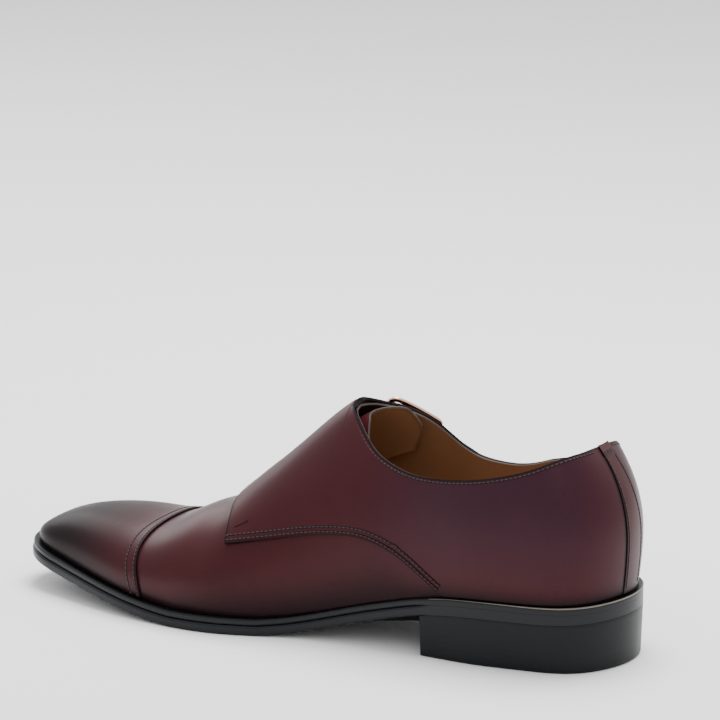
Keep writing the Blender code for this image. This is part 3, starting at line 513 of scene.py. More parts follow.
def to_edge(grid: Array, edges: str) -> Array:
    """Distance over the surface from each point of a grid to its nearest named edge.

    Args:
        grid: rows, columns, 3.
        edges: any of b, t, l and r for the first row, last row, first and last column.

    Returns:
        Distances in metres, rows by columns.
    """
    up = np.linalg.norm(np.diff(grid, axis=0), axis=2)
    along = np.linalg.norm(np.diff(grid, axis=1), axis=2)
    rise = np.concatenate([np.zeros((1, grid.shape[1])), np.cumsum(up, axis=0)])
    run = np.concatenate([np.zeros((grid.shape[0], 1)), np.cumsum(along, axis=1)], axis=1)
    ways = {"b": rise, "t": rise[-1:] - rise, "l": run, "r": run[:, -1:] - run}
    return np.min([ways[edge] for edge in edges], axis=0)


@dataclass
class Patch:
    """Grid of points of one sheet, with how dark and how purple each of them is."""

    points: Array
    flip: bool = False
    dark: Optional[Array] = None
    tint: Optional[Array] = None

    def values(self, name: str) -> Array:
        """One of the two shades as a flat row, zeros where it isn't given."""
        given = getattr(self, name)
        shape = self.points.shape[:2]
        return np.zeros(shape).ravel() if given is None else np.broadcast_to(given, shape).ravel()


def grid_faces(rows: int, columns: int, start: int = 0, flip: bool = False, closed: bool = False) -> Array:
    """Quads of a grid stored row by row.

    Args:
        rows: points one way.
        columns: points the other way.
        start: index of the first point.
        flip: whether faces turn the other way round.
        closed: whether the last row joins the first.

    Returns:
        Quads, one a row.
    """
    count = rows if closed else rows - 1
    r, c = np.meshgrid(np.arange(count), np.arange(columns - 1), indexing="ij")
    here = r * columns + c
    there = (r + 1) % rows * columns + c
    quads = np.stack([here, here + 1, there + 1, there], -1).reshape(-1, 4) + start
    return quads[:, ::-1] if flip else quads


def in_frame(points: Array) -> Array:
    """Points moved so that the origin is the middle of the heel's face."""
    return np.asarray(points, float).reshape(-1, 3) - [HEEL_LENGTH / 2, 0.0, 0.0]


def clean_mesh(mesh: bpy.types.Mesh, recalculate: bool) -> None:
    """Merge doubled points of a mesh, and turn its faces outwards if asked."""
    work = bmesh.new()
    work.from_mesh(mesh)
    bmesh.ops.remove_doubles(work, verts=work.verts, dist=1e-5)
    bmesh.ops.dissolve_degenerate(work, edges=work.edges, dist=1e-6)
    if recalculate:
        bmesh.ops.recalc_face_normals(work, faces=work.faces)
    work.to_mesh(mesh)
    work.free()


@dataclass(frozen=True)
class Piece:
    """What a finished piece stands for and how it is finished."""

    name: str
    nodes: tuple[str, ...]
    slot: str
    finishes: tuple[bpy.types.Material, ...]

    def make(self, mesh: bpy.types.Mesh) -> bpy.types.Object:
        """Object of a mesh with its finishes, smooth and riding on the shoe.

        Args:
            mesh: mesh in the shared frame.

        Returns:
            The new object.
        """
        for finish in self.finishes:
            mesh.materials.append(finish)
        item = bpy.data.objects.new(self.name, mesh)
        bpy.context.scene.collection.objects.link(item)
        mesh.shade_smooth()
        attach(item, "root")
        if self.nodes:
            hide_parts(*self.nodes)
        return item


def round_edges(item: bpy.types.Object, width: float, segments: int) -> None:
    """Round the sharp edges of a piece."""
    edge = item.modifiers.new("edge", "BEVEL")
    edge.width = width
    edge.segments = segments
    edge.limit_method = "ANGLE"
    edge.angle_limit = math.radians(50)


def sheet(piece: Piece, patches: Sequence[Patch], thickness: float, direction: int,
          rounding: float = 0.0004) -> bpy.types.Object:
    """Leather sheet: grids welded along shared edges, given a wall and a rounded rim.

    Args:
        piece: name, finishes and nodes; the second finish is the cut edge's, a third the back's.
        patches: grids of points.
        thickness: wall of the sheet.
        direction: 1 where the wall goes outwards from the points, -1 inwards.
        rounding: radius of the rim.

    Returns:
        The object.
    """
    mesh = bpy.data.meshes.new(piece.name)
    starts = np.cumsum([0] + [p.points.shape[0] * p.points.shape[1] for p in patches])
    faces = np.concatenate([
        grid_faces(*p.points.shape[:2], start=int(s), flip=p.flip) for p, s in zip(patches, starts)])
    points = np.concatenate([in_frame(p.points) for p in patches])
    mesh.from_pydata(points.tolist(), [], faces.tolist())
    for name in ("dark", "tint"):
        layer = mesh.attributes.new(name, "FLOAT", "POINT")
        layer.data.foreach_set("value", np.concatenate([p.values(name) for p in patches]).astype(np.float32))
    clean_mesh(mesh, recalculate=False)
    item = piece.make(mesh)
    wall = item.modifiers.new("wall", "SOLIDIFY")
    wall.thickness = thickness
    wall.offset = direction
    wall.use_even_offset = False
    wall.use_quality_normals = True
    wall.use_rim = True
    wall.material_offset_rim = 1 if len(piece.finishes) > 1 else 0
    wall.material_offset = 2 if len(piece.finishes) > 2 else 0
    round_edges(item, rounding, 3)
    return item


def block(piece: Piece, loops: Array, capped: bool) -> bpy.types.Object:
    """Solid of closed loops of points, stacked with flat caps or joined into a ring.

    Args:
        piece: name, finishes and nodes.
        loops: loops, points in a loop, 3.
        capped: whether the first and last loop are closed by a face.

    Returns:
        The object.
    """
    count, size = loops.shape[:2]
    wrapped = np.concatenate([loops, loops[:, :1]], axis=1)
    faces = grid_faces(count, size + 1, closed=not capped).tolist()
    if capped:
        faces.append(list(range(size))[::-1])
        last = (count - 1) * (size + 1)
        faces.append(list(range(last, last + size)))
    mesh = bpy.data.meshes.new(piece.name)
    mesh.from_pydata(in_frame(wrapped).tolist(), [], faces)
    clean_mesh(mesh, recalculate=True)
    return piece.make(mesh)


def tube(points: Array, normals: Array, radius: object, tall: float = 1.0, sides: int = 8) -> Array:
    """Loops of an oval tube along a row of points.

    Args:
        points: rows of the course.
        normals: outward direction at each point.
        radius: half width, one number or one a point.
        tall: height as a share of the width.
        sides: points in a loop.

    Returns:
        Loops, points, 3.
    """
    angle = np.linspace(0, 2 * math.pi, sides, endpoint=False)
    aside = np.cross(normals, unit(np.gradient(points, axis=0)))
    wide = np.broadcast_to(radius, len(points))[:, None, None]
    across = aside[:, None] * np.cos(angle)[:, None]
    over = normals[:, None] * np.sin(angle)[:, None] * tall
    return points[:, None] + wide * (across + over)


def add_node(tree: bpy.types.NodeTree, kind: str, settings: Optional[dict] = None,
             values: Optional[dict] = None, links: Optional[dict] = None) -> bpy.types.Node:
    """Node with its settings, its sockets' values and its incoming links.

    Args:
        tree: node tree it goes into.
        kind: node's type name.
        settings: attributes of the node.
        values: value of each named or numbered input.
        links: output socket that feeds each named or numbered input.

    Returns:
        The node.
    """
    node = tree.nodes.new(kind)
    for key, value in (settings or {}).items():
        setattr(node, key, value)
    for key, value in (values or {}).items():
        node.inputs[key].default_value = value
    for key, output in (links or {}).items():
        tree.links.new(output, node.inputs[key])
    return node


@dataclass
class Surface:
    """New material, and the nodes that its finish is put together from."""

    name: str
    material: bpy.types.Material = field(init=False)
    tree: bpy.types.NodeTree = field(init=False)
    inputs: bpy.types.bpy_prop_collection = field(init=False)
    place: bpy.types.NodeSocket = field(init=False)

    def __post_init__(self) -> None:
        """Start with a plain surface shader."""
        self.material = bpy.data.materials.new(self.name)
        self.material.use_nodes = True
        self.tree = self.material.node_tree
        self.inputs = self.tree.nodes["Principled BSDF"].inputs
        self.place = add_node(self.tree, "ShaderNodeTexCoord").outputs["Object"]

    def feed(self, name: str, output: bpy.types.NodeSocket) -> None:
        """Link an output to an input of the shader."""
        self.tree.links.new(output, self.inputs[name])

    def shade(self, name: str) -> bpy.types.NodeSocket:
        """Value that the mesh carries at each point."""
        return add_node(self.tree, "ShaderNodeAttribute", {"attribute_name": name}).outputs["Fac"]

    def cloud(self, size: float, detail: float) -> bpy.types.NodeSocket:
        """Noise with lumps about a size wide."""
        values = {"Scale": 1 / size, "Detail": detail}
        return add_node(self.tree, "ShaderNodeTexNoise", None, values, {"Vector": self.place}).outputs["Fac"]

    def spread(self, value: bpy.types.NodeSocket, source: tuple[float, float],
               target: tuple[float, float]) -> bpy.types.NodeSocket:
        """Value carried from one range to another.

        Args:
            value: what is read.
            source: range it comes in.
            target: range it leaves in.

        Returns:
            The output socket.
        """
        values = dict(zip(("From Min", "From Max", "To Min", "To Max"), source + target))
        return add_node(self.tree, "ShaderNodeMapRange", None, values, {"Value": value}).outputs["Result"]

    def mixed(self, share: bpy.types.NodeSocket, first: object, second: str) -> bpy.types.NodeSocket:
        """Colour between two.

        Args:
            share: share of the second.
            first: hex colour or an output socket.
            second: hex colour.

        Returns:
            The output socket.
        """
        values, links = {7: linear(second)}, {0: share}
        if isinstance(first, str):
            values[6] = linear(first)
        else:
            links[6] = first
        return add_node(self.tree, "ShaderNodeMix", {"data_type": "RGBA"}, values, links).outputs[2]

    def relief(self, height: bpy.types.NodeSocket, depth: float) -> None:
        """Bumps of at most 0.2 mm."""
        values = {"Strength": depth, "Distance": 0.0002}
        bump = add_node(self.tree, "ShaderNodeBump", None, values, {"Height": height})
        self.feed("Normal", bump.outputs["Normal"])


@dataclass(frozen=True)
class LeatherFinish:
    """Aniline calf leather, dyed through, burnished dark at the edges and polished with wax.

    The dye sits unevenly, so the colour drifts over a few centimetres; wax gives
    a soft broad shine; pores of about 0.4 mm are drawn at 0.8 mm so that they show.
    The dark colour that the mesh's dark share mixes in is burnishing, and also
    painted shade: along the feather line at the waist and deep in the lining.
    """

    name: str
    color: str
    drift: str
    purple: str
    burnish_and_shade_color: str
    roughness: float
    shine: float = 0.24
    grain: float = 0.0008
    grain_depth: float = 0.10
    drift_size: float = 0.045
    streak_size: float = 0.012
    burnt_shine: float = 0.4
    shine_color: str = "#ffd0d0"

    def build(self) -> bpy.types.Material:
        """Make the material from its colours and sizes."""
        made = Surface(self.name)
        drifted = made.spread(made.cloud(self.drift_size, 3.0), (0.35, 0.65), (0.0, 1.0))
        body = made.mixed(drifted, self.color, self.drift)
        tinted = made.mixed(made.shade("tint"), body, self.purple)
        # Dark share from the mesh: burnishing, and painted shade where the mesh carries it
        dark = made.shade("dark")
        made.feed("Base Color", made.mixed(dark, tinted, self.burnish_and_shade_color))
        gloss = (self.roughness - 0.05, self.roughness + 0.05)
        made.feed("Roughness", made.spread(made.cloud(self.streak_size, 4.0), (0.0, 1.0), gloss))
        made.feed("Specular IOR Level",
                  made.spread(dark, (0.0, 1.0), (self.shine, self.burnt_shine * self.shine)))
        made.inputs["Specular Tint"].default_value = linear(self.shine_color)
        scale = {"Scale": 1 / self.grain}
        pores = add_node(made.tree, "ShaderNodeTexVoronoi", None, scale, {"Vector": made.place})
        made.relief(pores.outputs["Distance"], self.grain_depth)
        return made.material


@dataclass(frozen=True)
class PlainFinish:
    """Finish of one colour with a slow cloud in its gloss and fine scratches along the shoe.

    Scratches are about 0.3 mm wide, drawn at 0.8 mm so that they show.
    """

    name: str
    color: str
    drift: str
    roughness: float
    metallic: float = 0.0
    scratch: float = 0.0
    shine: float = 0.5
    drift_size: float = 0.020
    scratch_size: float = 0.0008

    def build(self) -> bpy.types.Material:
        """Make the material from its colours and sizes."""
        made = Surface(self.name)
        cloud = made.cloud(self.drift_size, 3.0)
        made.feed("Base Color", made.mixed(cloud, self.color, self.drift))
        gloss = (self.roughness - 0.04, self.roughness + 0.04)
        made.feed("Roughness", made.spread(cloud, (0.0, 1.0), gloss))
        made.inputs["Metallic"].default_value = self.metallic
        made.inputs["Specular IOR Level"].default_value = self.shine
        if self.scratch:
            stretch = {"Scale": (20.0, 20.0, 1 / self.scratch_size)}
            along = add_node(made.tree, "ShaderNodeMapping", None, stretch, {"Vector": made.place})
            lines = add_node(made.tree, "ShaderNodeTexNoise", None, {"Scale": 1.0, "Detail": 2.0},
                             {"Vector": along.outputs["Vector"]})
            made.relief(lines.outputs["Fac"], self.scratch)
        return made.material


FINISHES = {
    "vamp": LeatherFinish("burnished_calf_vamp", "#300d13", "#341115", "#271322", "#0f0e10", 0.36),
    "quarter": LeatherFinish("burnished_calf_quarter", "#300d14", "#341116", "#271322", "#100e11", 0.38),
    "tongue": LeatherFinish("calf_tongue", "#3c1017", "#40151a", "#271322", "#120e10", 0.42),
    "fold": LeatherFinish("calf_fold", "#37191b", "#3c1d1e", "#271322", "#120e10", 0.42),
    # Dense burgundy polyester thread, matt
    "tack": PlainFinish("bar_tack_thread", "#2a0b10", "#340f15", 0.6, shine=0.1),
    # Painted highlight along the seat's rim: beige, where the rim's rounded edge catches the light
    "rim_wax": PlainFinish("painted_seat_rim_highlight", "#7d7468", "#4c4842", 0.34, drift_size=0.03),
    # Vegetable tanned lining leather: matt, even, brown; its dark colour is painted shade, deep in the
    # opening under the flap and straps
    "lining": LeatherFinish("vegetable_tanned_lining", "#845e40", "#8b6748", "#5f4630", "#3a2c20", 0.62,
                            grain_depth=0.06),
    # Acrylic edge paint on cut leather: nearly black, matt; it also draws the bead along the flap's front
    # edge, which is partly painted shade
    "cut_edge": PlainFinish("edge_paint_dark", "#0b080a", "#110c0e", 0.55, shine=0.08),
    # Skived and folded lining edge: grey brown from handling
    "lining_edge": PlainFinish("edge_paint_taupe", "#3f342e", "#352a26", 0.50, shine=0.25),
    # Waxed polyester thread, dark burgundy
    "thread": PlainFinish("waxed_thread", "#3a2023", "#46292a", 0.5, shine=0.3),
    # Painted shade, nearly black: a flat bead under each stitch row for the shade in its groove, and a disc
    # on each strap hole for the shade inside it
    "needle_line": PlainFinish("painted_groove_and_hole_shade", "#0c0608", "#12090b", 0.6, shine=0.15),
    # Leather sole edge, inked black and ironed with wax: satin
    "sole_edge": PlainFinish("inked_sole_edge", "#0f1013", "#15161a", 0.34, scratch=0.15, shine=0.22),
    # Stacked leather heel, inked black and polished, with fine scratches
    "heel_stack": PlainFinish("inked_heel_stack", "#08090c", "#0d0f12", 0.38, scratch=0.35, shine=0.18),
    # Rose gold plate on brass: polished metal
    "plating": PlainFinish("rose_gold_plate", "#efc0a0", "#f3c9aa", 0.20, metallic=1.0),
}


@dataclass
class Sole:
    """Outsole, welt, heel and insole, each a profile carried round the sole's outline."""

    finishes: SimpleNamespace
    rings: int = 220
    seat_start: float = 0.265
    seat_end: float = 0.300
    edge_depth: float = 0.005
    heel_flare: float = 0.0008
    heel_lip: float = 0.0010
    rim_radius: float = 0.00028

    def loop(self, rings: Array, inset: object, height: Callable[[Array], Array]) -> Array:
        """Closed outline of the sole, the outer side and then the inner side back.

        Args:
            rings: rings from heel to toe.
            inset: distance inwards, one number, one per ring or a pair for both sides.
            height: height as a function of the ring.

        Returns:
            Points of the loop.
        """
        pair = inset if isinstance(inset, tuple) else (inset, inset)
        halves = []
        for side, amount in zip((Side.INNER, Side.OUTER), pair):
            x, y, _, _ = outline(rings, side, amount)
            y[[0, -1]] = 0.0
            halves.append(np.stack([x, y, height(ring_of(x / SOLE_LENGTH))], -1))
        inner, outer = halves
        return np.concatenate([outer[:-1], inner[::-1][:-1]])

    def profile_loops(self, profile: Array, flush: Array) -> Array:
        """Loops of a profile of inset and height, upright at the seat.

        Args:
            profile: rows of inset and height over the underside, metres.
            flush: inset of each row at the seat, where the layers run into the heel.

        Returns:
            Loops, points, 3.
        """
        rings = np.linspace(0, 1, self.rings)
        seat = ramp(station_of(rings), self.seat_end, self.seat_start)
        return np.stack([
            self.loop(rings, inset + (level - inset) * seat, lambda r, up=up: sole_bottom(r) + up)
            for (inset, up), level in zip(profile, flush)])

    def rounded(self, inset: float, low: float, high: float, radius: float, deep: float) -> Array:
        """Profile of a lip: flat underneath, half round at its edge, flat on top.

        Args:
            inset: inset of the outermost point.
            low: underside.
            high: top.
            radius: radius of both corners.
            deep: inset where the flats end.

        Returns:
            Rows of inset and height.
        """
        turn = np.linspace(0, math.pi / 2, 6)
        lower = np.stack([inset + radius * (1 - np.sin(turn)), low + radius * (1 - np.cos(turn))], -1)
        upper = np.stack([inset + radius * (1 - np.cos(turn)), high - radius * (1 - np.sin(turn))], -1)
        return np.concatenate([[[deep, low]], lower, upper, [[deep, high]]])

    def layer(self, name: str, nodes: tuple[str, ...], look: str, loops: Array, capped: bool = True,
              slot: str = "sole_edge") -> bpy.types.Object:
        """Piece of the sole.

        Args:
            name: piece's name.
            nodes: nodes it stands for.
            look: its finish.
            loops: loops, points in a loop, 3.
            capped: whether the first and last loop are closed by a face.
            slot: name of its material slot, kept on the piece but not used.

        Returns:
            The object.
        """
        return block(Piece(name, nodes, slot, (getattr(self.finishes, look),)), loops, capped)

    def build_outsole(self) -> bpy.types.Object:
        """Leather outsole with rounded edges."""
        profile = self.rounded(0.0, 0.0, OUTSOLE_THICKNESS, 0.0012, 0.008)
        loops = self.profile_loops(profile, np.where(profile[:, 0] < self.edge_depth, 0.0, profile[:, 0]))
        return self.layer("outsole_leather", ("outsole",), "sole_edge", loops)

    def build_welt(self) -> bpy.types.Object:
        """Welt between outsole and upper: a strip with a rounded lip."""
        base = OUTSOLE_THICKNESS + 0.05e-3
        profile = self.rounded(WELT_INSET, base, base + WELT_THICKNESS + GAP, 0.0009, WELT_WIDTH)
        low = profile[:, 1] < base + WELT_THICKNESS / 2
        edge = profile[:, 0] < self.edge_depth
        flush = np.where(low & edge, 0.0, profile[:, 0] - WELT_INSET * edge)
        loops = self.profile_loops(profile, flush)
        return self.layer("welt_strip", ("welt",), "sole_edge", loops, capped=False)

    def build_heel(self) -> bpy.types.Object:
        """Stacked heel from the floor to the seat, its breast straight across."""
        end = float(ring_of(HEEL_LENGTH / SOLE_LENGTH))
        rings = np.linspace(0, end, 70)
        shares = np.concatenate([[0, 0.012, 0.03, 0.05], np.linspace(0.1, 1, 10)])
        loops = []
        for share in shares:
            inset = self.heel_flare * (1 - share) + self.heel_lip * (1 - min(1.0, share / 0.05)) ** 2
            halves = []
            for side in (Side.INNER, Side.OUTER):
                x, y, _, _ = outline(rings, side, inset)
                y[0] = 0.0
                top = sole_bottom(ring_of(x / SOLE_LENGTH))
                halves.append(np.stack([x, y, share * top], -1))
            loops.append(np.concatenate([halves[0][::-1], halves[1][1:]]))
        item = self.layer("heel_stack", ("heel",), "heel_stack", np.stack(loops), slot="heel_block")
        round_edges(item, 0.0004, 2)
        return item

    def build_insole(self) -> bpy.types.Object:
        """Leather sock inside the upper, slightly dished."""
        rings = np.linspace(0, 1, 160)
        insets = [column(SECTIONS, share, rings) * BALL_WIDTH + UPPER_WALL + 2 * GAP for share in (1, 2)]
        steps = ((0.0, -INSOLE_THICKNESS), (0.0, 0.0), (0.004, -0.0003), (0.010, -0.0005))
        loops = [
            self.loop(rings, tuple(inset + more for inset in insets),
                      lambda r, up=up: feather_height(r) + INSOLE_THICKNESS + up)
            for more, up in steps]
        return self.layer("insole_sock", ("insole",), "lining", np.stack(loops), slot="lining")

    def build_rim(self) -> bpy.types.Object:
        """Beige bead along the seat's upper rim, thinning out towards the waist: a painted highlight of the
        rim's edge.
        """
        end = float(ring_of(0.27))
        rings = np.linspace(-end, end, 160)
        turned = np.abs(rings)
        x, near, _, _ = outline(turned, Side.INNER, self.rim_radius)
        _, far, _, _ = outline(turned, Side.OUTER, self.rim_radius)
        top = feather_height(turned) - GAP - 0.0001
        points = np.stack([x, np.where(rings < 0, near, far), top], -1)
        radius = 0.0001 + self.rim_radius * ramp(turned, end, end - 0.2)
        normals = np.broadcast_to([0.0, 0.0, 1.0], points.shape)
        return self.layer("seat_rim", (), "rim_wax", tube(points, normals, radius))

    def build(self) -> list[bpy.types.Object]:
        """Build every piece of the sole."""
        return [
            self.build_outsole(), self.build_welt(), self.build_heel(), self.build_insole(), self.build_rim()]


@dataclass
class Course:
    """A strap on the outer side: its edges as rings and rises along its length."""

    table: tuple
    buckle_at: float
    rows: int = 121
    rear: Array = field(init=False)
    front: Array = field(init=False)
    width: Array = field(init=False)
    along: Array = field(init=False)

    def __post_init__(self) -> None:
        """Read both edges of the table by smooth curves."""
        keys = np.linspace(0, 1, len(self.table))
        rows = np.linspace(0, 1, self.rows)
        edges = []
        for first in (0, 2):
            ring = spline(keys, ring_of([row[first] for row in self.table]), rows, level_ends=False)
            height = spline(keys, [row[first + 1] for row in self.table], rows, level_ends=False)
            rise = rise_at(ring, height * COLLAR_HEIGHT, Side.OUTER)
            rise[0] = 1.0
            edges.append(np.stack([ring, rise]))
        self.rear, self.front = edges
        rear = skin(*self.rear, Side.OUTER, 0.0)
        front = skin(*self.front, Side.OUTER, 0.0)
        self.width = np.linalg.norm(front - rear, axis=1)
        self.along = run_length((rear + front) / 2)

    @property
    def length(self) -> float:
        """Length of the strap."""
        return float(self.along[-1])

    @property
    def pin(self) -> float:
        """Distance along the strap of its buckle's pin."""
        return self.buckle_at * self.length

    def spot(self, along: Array, across: Array) -> tuple[Array, Array]:
        """Ring and rise of a spot: a distance along the strap and one across from its middle."""
        rear = [np.interp(along, self.along, values) for values in self.rear]
        front = [np.interp(along, self.along, values) for values in self.front]
        share = 0.5 + across / np.interp(along, self.along, self.width)
        return rear[0] + (front[0] - rear[0]) * share, rear[1] + (front[1] - rear[1]) * share

    def half_breadth(self, along: Array) -> Array:
        """Half width of the strap: it narrows to its own width and to a point at its end."""
        root = np.interp(along, self.along, self.width)
        taper = smooth_step(along / (STRAP_TAPER * self.length))
        width = root + (STRAP_WIDTH - root) * taper
        point = np.clip((along - self.length + STRAP_WIDTH / 2) / (STRAP_WIDTH / 2), 0, 1)
        return width * (1 - 2 * STRAP_POINT * point ** 2) / 2

    def lift(self, along: Array, ring: Array, rise: Array) -> Array:
        """Offset of the strap's inner face: over the outer quarter, humped over the pin."""
        over = 2 * CURVED_GAP + PANEL_WALL
        start = flap_offset(ring, 1.0)
        clear = buckle_level() + PIN_DIAMETER / 2 + GAP - 2 * CURVED_GAP - PANEL_WALL
        hump = 1.06 * clear * np.exp(-((along - self.pin) / HUMP_REACH) ** 2)
        return start + (over - start) * ramp(rise, 1.0, 1 - STRAP_SETTLES) + hump

    def place(self, along: Array, across: Array, extra: object) -> Array:
        """Point on the strap, a height over its inner face."""
        ring, rise = self.spot(along, across)
        return skin(ring, rise, Side.OUTER, self.lift(along, ring, rise) + extra)


def buckle_level() -> float:
    """Height of a buckle's middle plane over the last."""
    return 2 * CURVED_GAP + 2 * PANEL_WALL + 2 * GAP + BUCKLE_THICKNESS / 2


def flap_offset(ring: Array, rise: object) -> Array:
    """Inner face of the flap: it lifts towards the ridge and settles again at its front edge."""
    settled = FLAP_SETTLES * ramp(station_of(ring), *FLAP_SETTLE_STATIONS)
    lifted = ramp(np.asarray(rise), FLAP_LIFTS_AT, 1.0)
    return CURVED_GAP + FLAP_LIFT * (1 - settled) * lifted


@dataclass
class Upper:
    """Vamp, lining, toe cap, quarters with the straps, backstay and tongue."""

    finishes: SimpleNamespace
    courses: tuple[Course, Course]
    columns: int = 300
    rows: int = 90
    # Strength of the darkening along the feather line and the cut edges: burnishing, and painted shade in the
    # feather band
    burnish_and_shade_strength: float = 0.85
    feather_dark: float = 0.0055
    edge_dark: float = 0.0010
    tip_burnt: float = 0.95
    tip_stations: tuple[float, float] = (0.750, 0.915)
    # Stations where the feather band widens into painted shade under the waist, and by how much
    waist_shade_rear: tuple[float, float] = (0.27, 0.37)
    waist_shade_front: tuple[float, float] = (0.70, 0.58)
    waist_shade_spread: float = 1.5
    purple: float = 0.75
    vamp_start: float = 0.20
    vamp_lap: float = 0.10
    skiving: float = 0.0007

    def panel(self, name: str, node: str, patches: Sequence[Patch], thickness: float, direction: int = 1,
              rounding: float = 0.00045, looks: Sequence[str] = ("quarter", "cut_edge")) -> bpy.types.Object:
        """Sheet of the upper.

        Args:
            name: piece's name.
            node: node it stands for.
            patches: its grids of points.
            thickness: its wall.
            direction: 1 where the wall goes outwards from the points, -1 inwards.
            rounding: radius of the rim.
            looks: finishes of the face, the rim and the back.

        Returns:
            The object.
        """
        slot = "lining" if name == "lining" else "upper_leather"
        finishes = tuple(getattr(self.finishes, look) for look in looks)
        return sheet(Piece(name, (node,), slot, finishes), patches, thickness, direction, rounding)

    def darkness(self, ring: Array, rise: Array, side: Side, edge: Optional[Array] = None) -> Array:
        """Share of darkening: burnishing at the toe's tip and beside cut edges, and along the feather line
        partly burnishing, partly painted shade, widest at the waist.

        Args:
            ring: ring of each point.
            rise: rise of each point.
            side: half of the shoe.
            edge: distance to the nearest cut edge, if the panel has any.

        Returns:
            0 for plain leather to 1 for the full dark colour.
        """
        near_ring = np.clip(ring, 0, 1)
        station = station_of(near_ring)
        height = form(ring, rise, side)[..., 2] - feather_height(near_ring)
        # The feather band is partly burnishing and partly painted shade where the upper meets the welt; at
        # the waist it widens into painted shade under the waist
        waist = ramp(station, *self.waist_shade_rear) * ramp(station, *self.waist_shade_front)
        low = self.burnish_and_shade_strength * np.exp(-(height / (self.feather_dark * (1 + self.waist_shade_spread * waist))) ** 2)
        dark = 1 - (1 - self.tip_burnt * ramp(station, *self.tip_stations)) * (1 - low)
        if edge is not None:
            dark = 1 - (1 - dark) * (1 - self.burnish_and_shade_strength * np.exp(-(edge / self.edge_dark) ** 2))
        return dark

    def tint(self, ring: Array, rise: Array) -> Array:
        """Share of purple: on the rear quarter, strongest in its middle height."""
        station = station_of(np.abs(ring))
        return self.purple * ramp(station, 0.42, 0.22) * ramp(rise, 0.0, 0.35) * ramp(station, -0.02, 0.06)

    def shaded(self, grid: Array, ring: Array, rise: Array, side: Side,
               near: Optional[Array] = None) -> Patch:
        """Patch on one half of the last, with its darkening and purple.

        Args:
            grid: its points.
            ring: ring of each point.
            rise: rise of each point.
            side: half of the shoe that it lies on.
            near: distance to the nearest cut edge, if it has any.

        Returns:
            The patch.
        """
        return Patch(grid, side is Side.INNER, self.darkness(ring, rise, side, near), self.tint(ring, rise))

    def halves(self, rings: Array, rise_of: Callable[[Side], Array], offset: float,
               weld_ridge: Array) -> list[Patch]:
        """Both halves of a sheet that goes from heel to toe.

        Args:
            rings: rings of the columns.
            rise_of: rise of each grid point on a side.
            offset: offset from the last.
            weld_ridge: columns whose last row lies on the ridge.

        Returns:
            Two patches that meet on the back seam, the toe's tip and the ridge.
        """
        rises = {side: rise_of(side) for side in Side}
        grids = {side: skin(rings, rises[side], side, offset) for side in Side}
        inner, outer = grids[Side.INNER], grids[Side.OUTER]
        for index, place in ((0, rings[0] <= 0), (-1, rings[-1] >= 1)):
            if place:
                both = (inner[:, index] + outer[:, index]) / 2
                both[:, 1] = 0.0
                inner[:, index] = outer[:, index] = both
        inner[-1, weld_ridge] = outer[-1, weld_ridge] = (inner[-1, weld_ridge] + outer[-1, weld_ridge]) / 2
        ring = np.broadcast_to(rings, rises[Side.INNER].shape)
        return [self.shaded(grids[side], ring, rises[side], side) for side in Side]

    def build_lining(self) -> bpy.types.Object:
        """Lining and counter: the inner part of the upper's wall, up to the collar."""
        rings = rings_through(0.0, 1.0, self.columns, ring_of([0.4370, THROAT_STATION]))
        stations = station_of(rings)
        shares = np.linspace(0, 1, 60)[:, None]
        patches = self.halves(
            rings, lambda side: shares * topline_rise(rings, side)[None, :], -0.0001,
            stations >= THROAT_STATION - 1e-6)
        for patch in patches:
            # Painted shade: the lining darkens from the front of the collar opening forwards, in its upper
            # part, where it lies under the flap and straps
            patch.dark = ramp(stations, 0.392, 0.422)[None, :] * ramp(shares, 0.70, 0.85)
            patch.tint = None
        return self.panel("lining", "upper", patches, UPPER_WALL - 0.0004, -1, 0.0004,
                          ("cut_edge", "lining_edge", "lining"))

    def build_vamp(self) -> bpy.types.Object:
        """Vamp: the outer leather from the waist to the toe, under quarters and cap."""
        rings = np.linspace(float(ring_of(self.vamp_start)), 1.0, self.columns)
        opening = ramp(station_of(rings), THROAT_STATION, THROAT_STATION + 0.04)
        closed = opening >= 1
        shares = np.linspace(0, 1, self.rows)[:, None]

        def rise_of(side: Side) -> Array:
            """Rise of each point: up to the ridge in front, under the quarter behind."""
            lap = np.minimum(1.0, seam_rise(rings, side) + self.vamp_lap)
            below = topline_rise(rings, side) - self.vamp_lap * (1 - opening)
            return shares * np.where(closed, 1.0, np.minimum(lap + (1 - lap) * opening, below))[None, :]

        return self.panel("vamp", "upper", self.halves(rings, rise_of, 0.0, closed), 0.00008,
                          rounding=0.00003, looks=("vamp", "cut_edge"))

    def build_toe_cap(self) -> bpy.types.Object:
        """Straight toe cap laid over the front of the vamp."""
        shares = np.linspace(0, 1, self.rows)
        edge = cap_edge(shares)
        start = float(edge.max())
        rings = np.linspace(start, 1.0, 140)
        pull = (1 - (rings - start) / (1 - start)) ** 3
        ring = rings[None, :] + (edge[:, None] - start) * pull[None, :]
        rises = {}
        grids = {}
        for side in Side:
            low = low_rise(rings, side)[None, :]
            rises[side] = low + (1 - low) * shares[:, None]
            grids[side] = skin(ring, rises[side], side, 0.0001)
        inner, outer = grids[Side.INNER], grids[Side.OUTER]
        tip = (inner[:, -1] + outer[:, -1]) / 2
        tip[:, 1] = 0.0
        ridge = (inner[-1] + outer[-1]) / 2
        patches = []
        for side, grid in grids.items():
            grid[:, -1] = tip
            grid[-1] = ridge
            dark = self.darkness(ring, rises[side], side, to_edge(grid, "l"))
            patches.append(Patch(grid, side is Side.INNER, dark))
        return self.panel("toe_cap_leather", "toe_cap", patches, CAP_WALL, rounding=0.0004,
                          looks=("vamp", "cut_edge"))

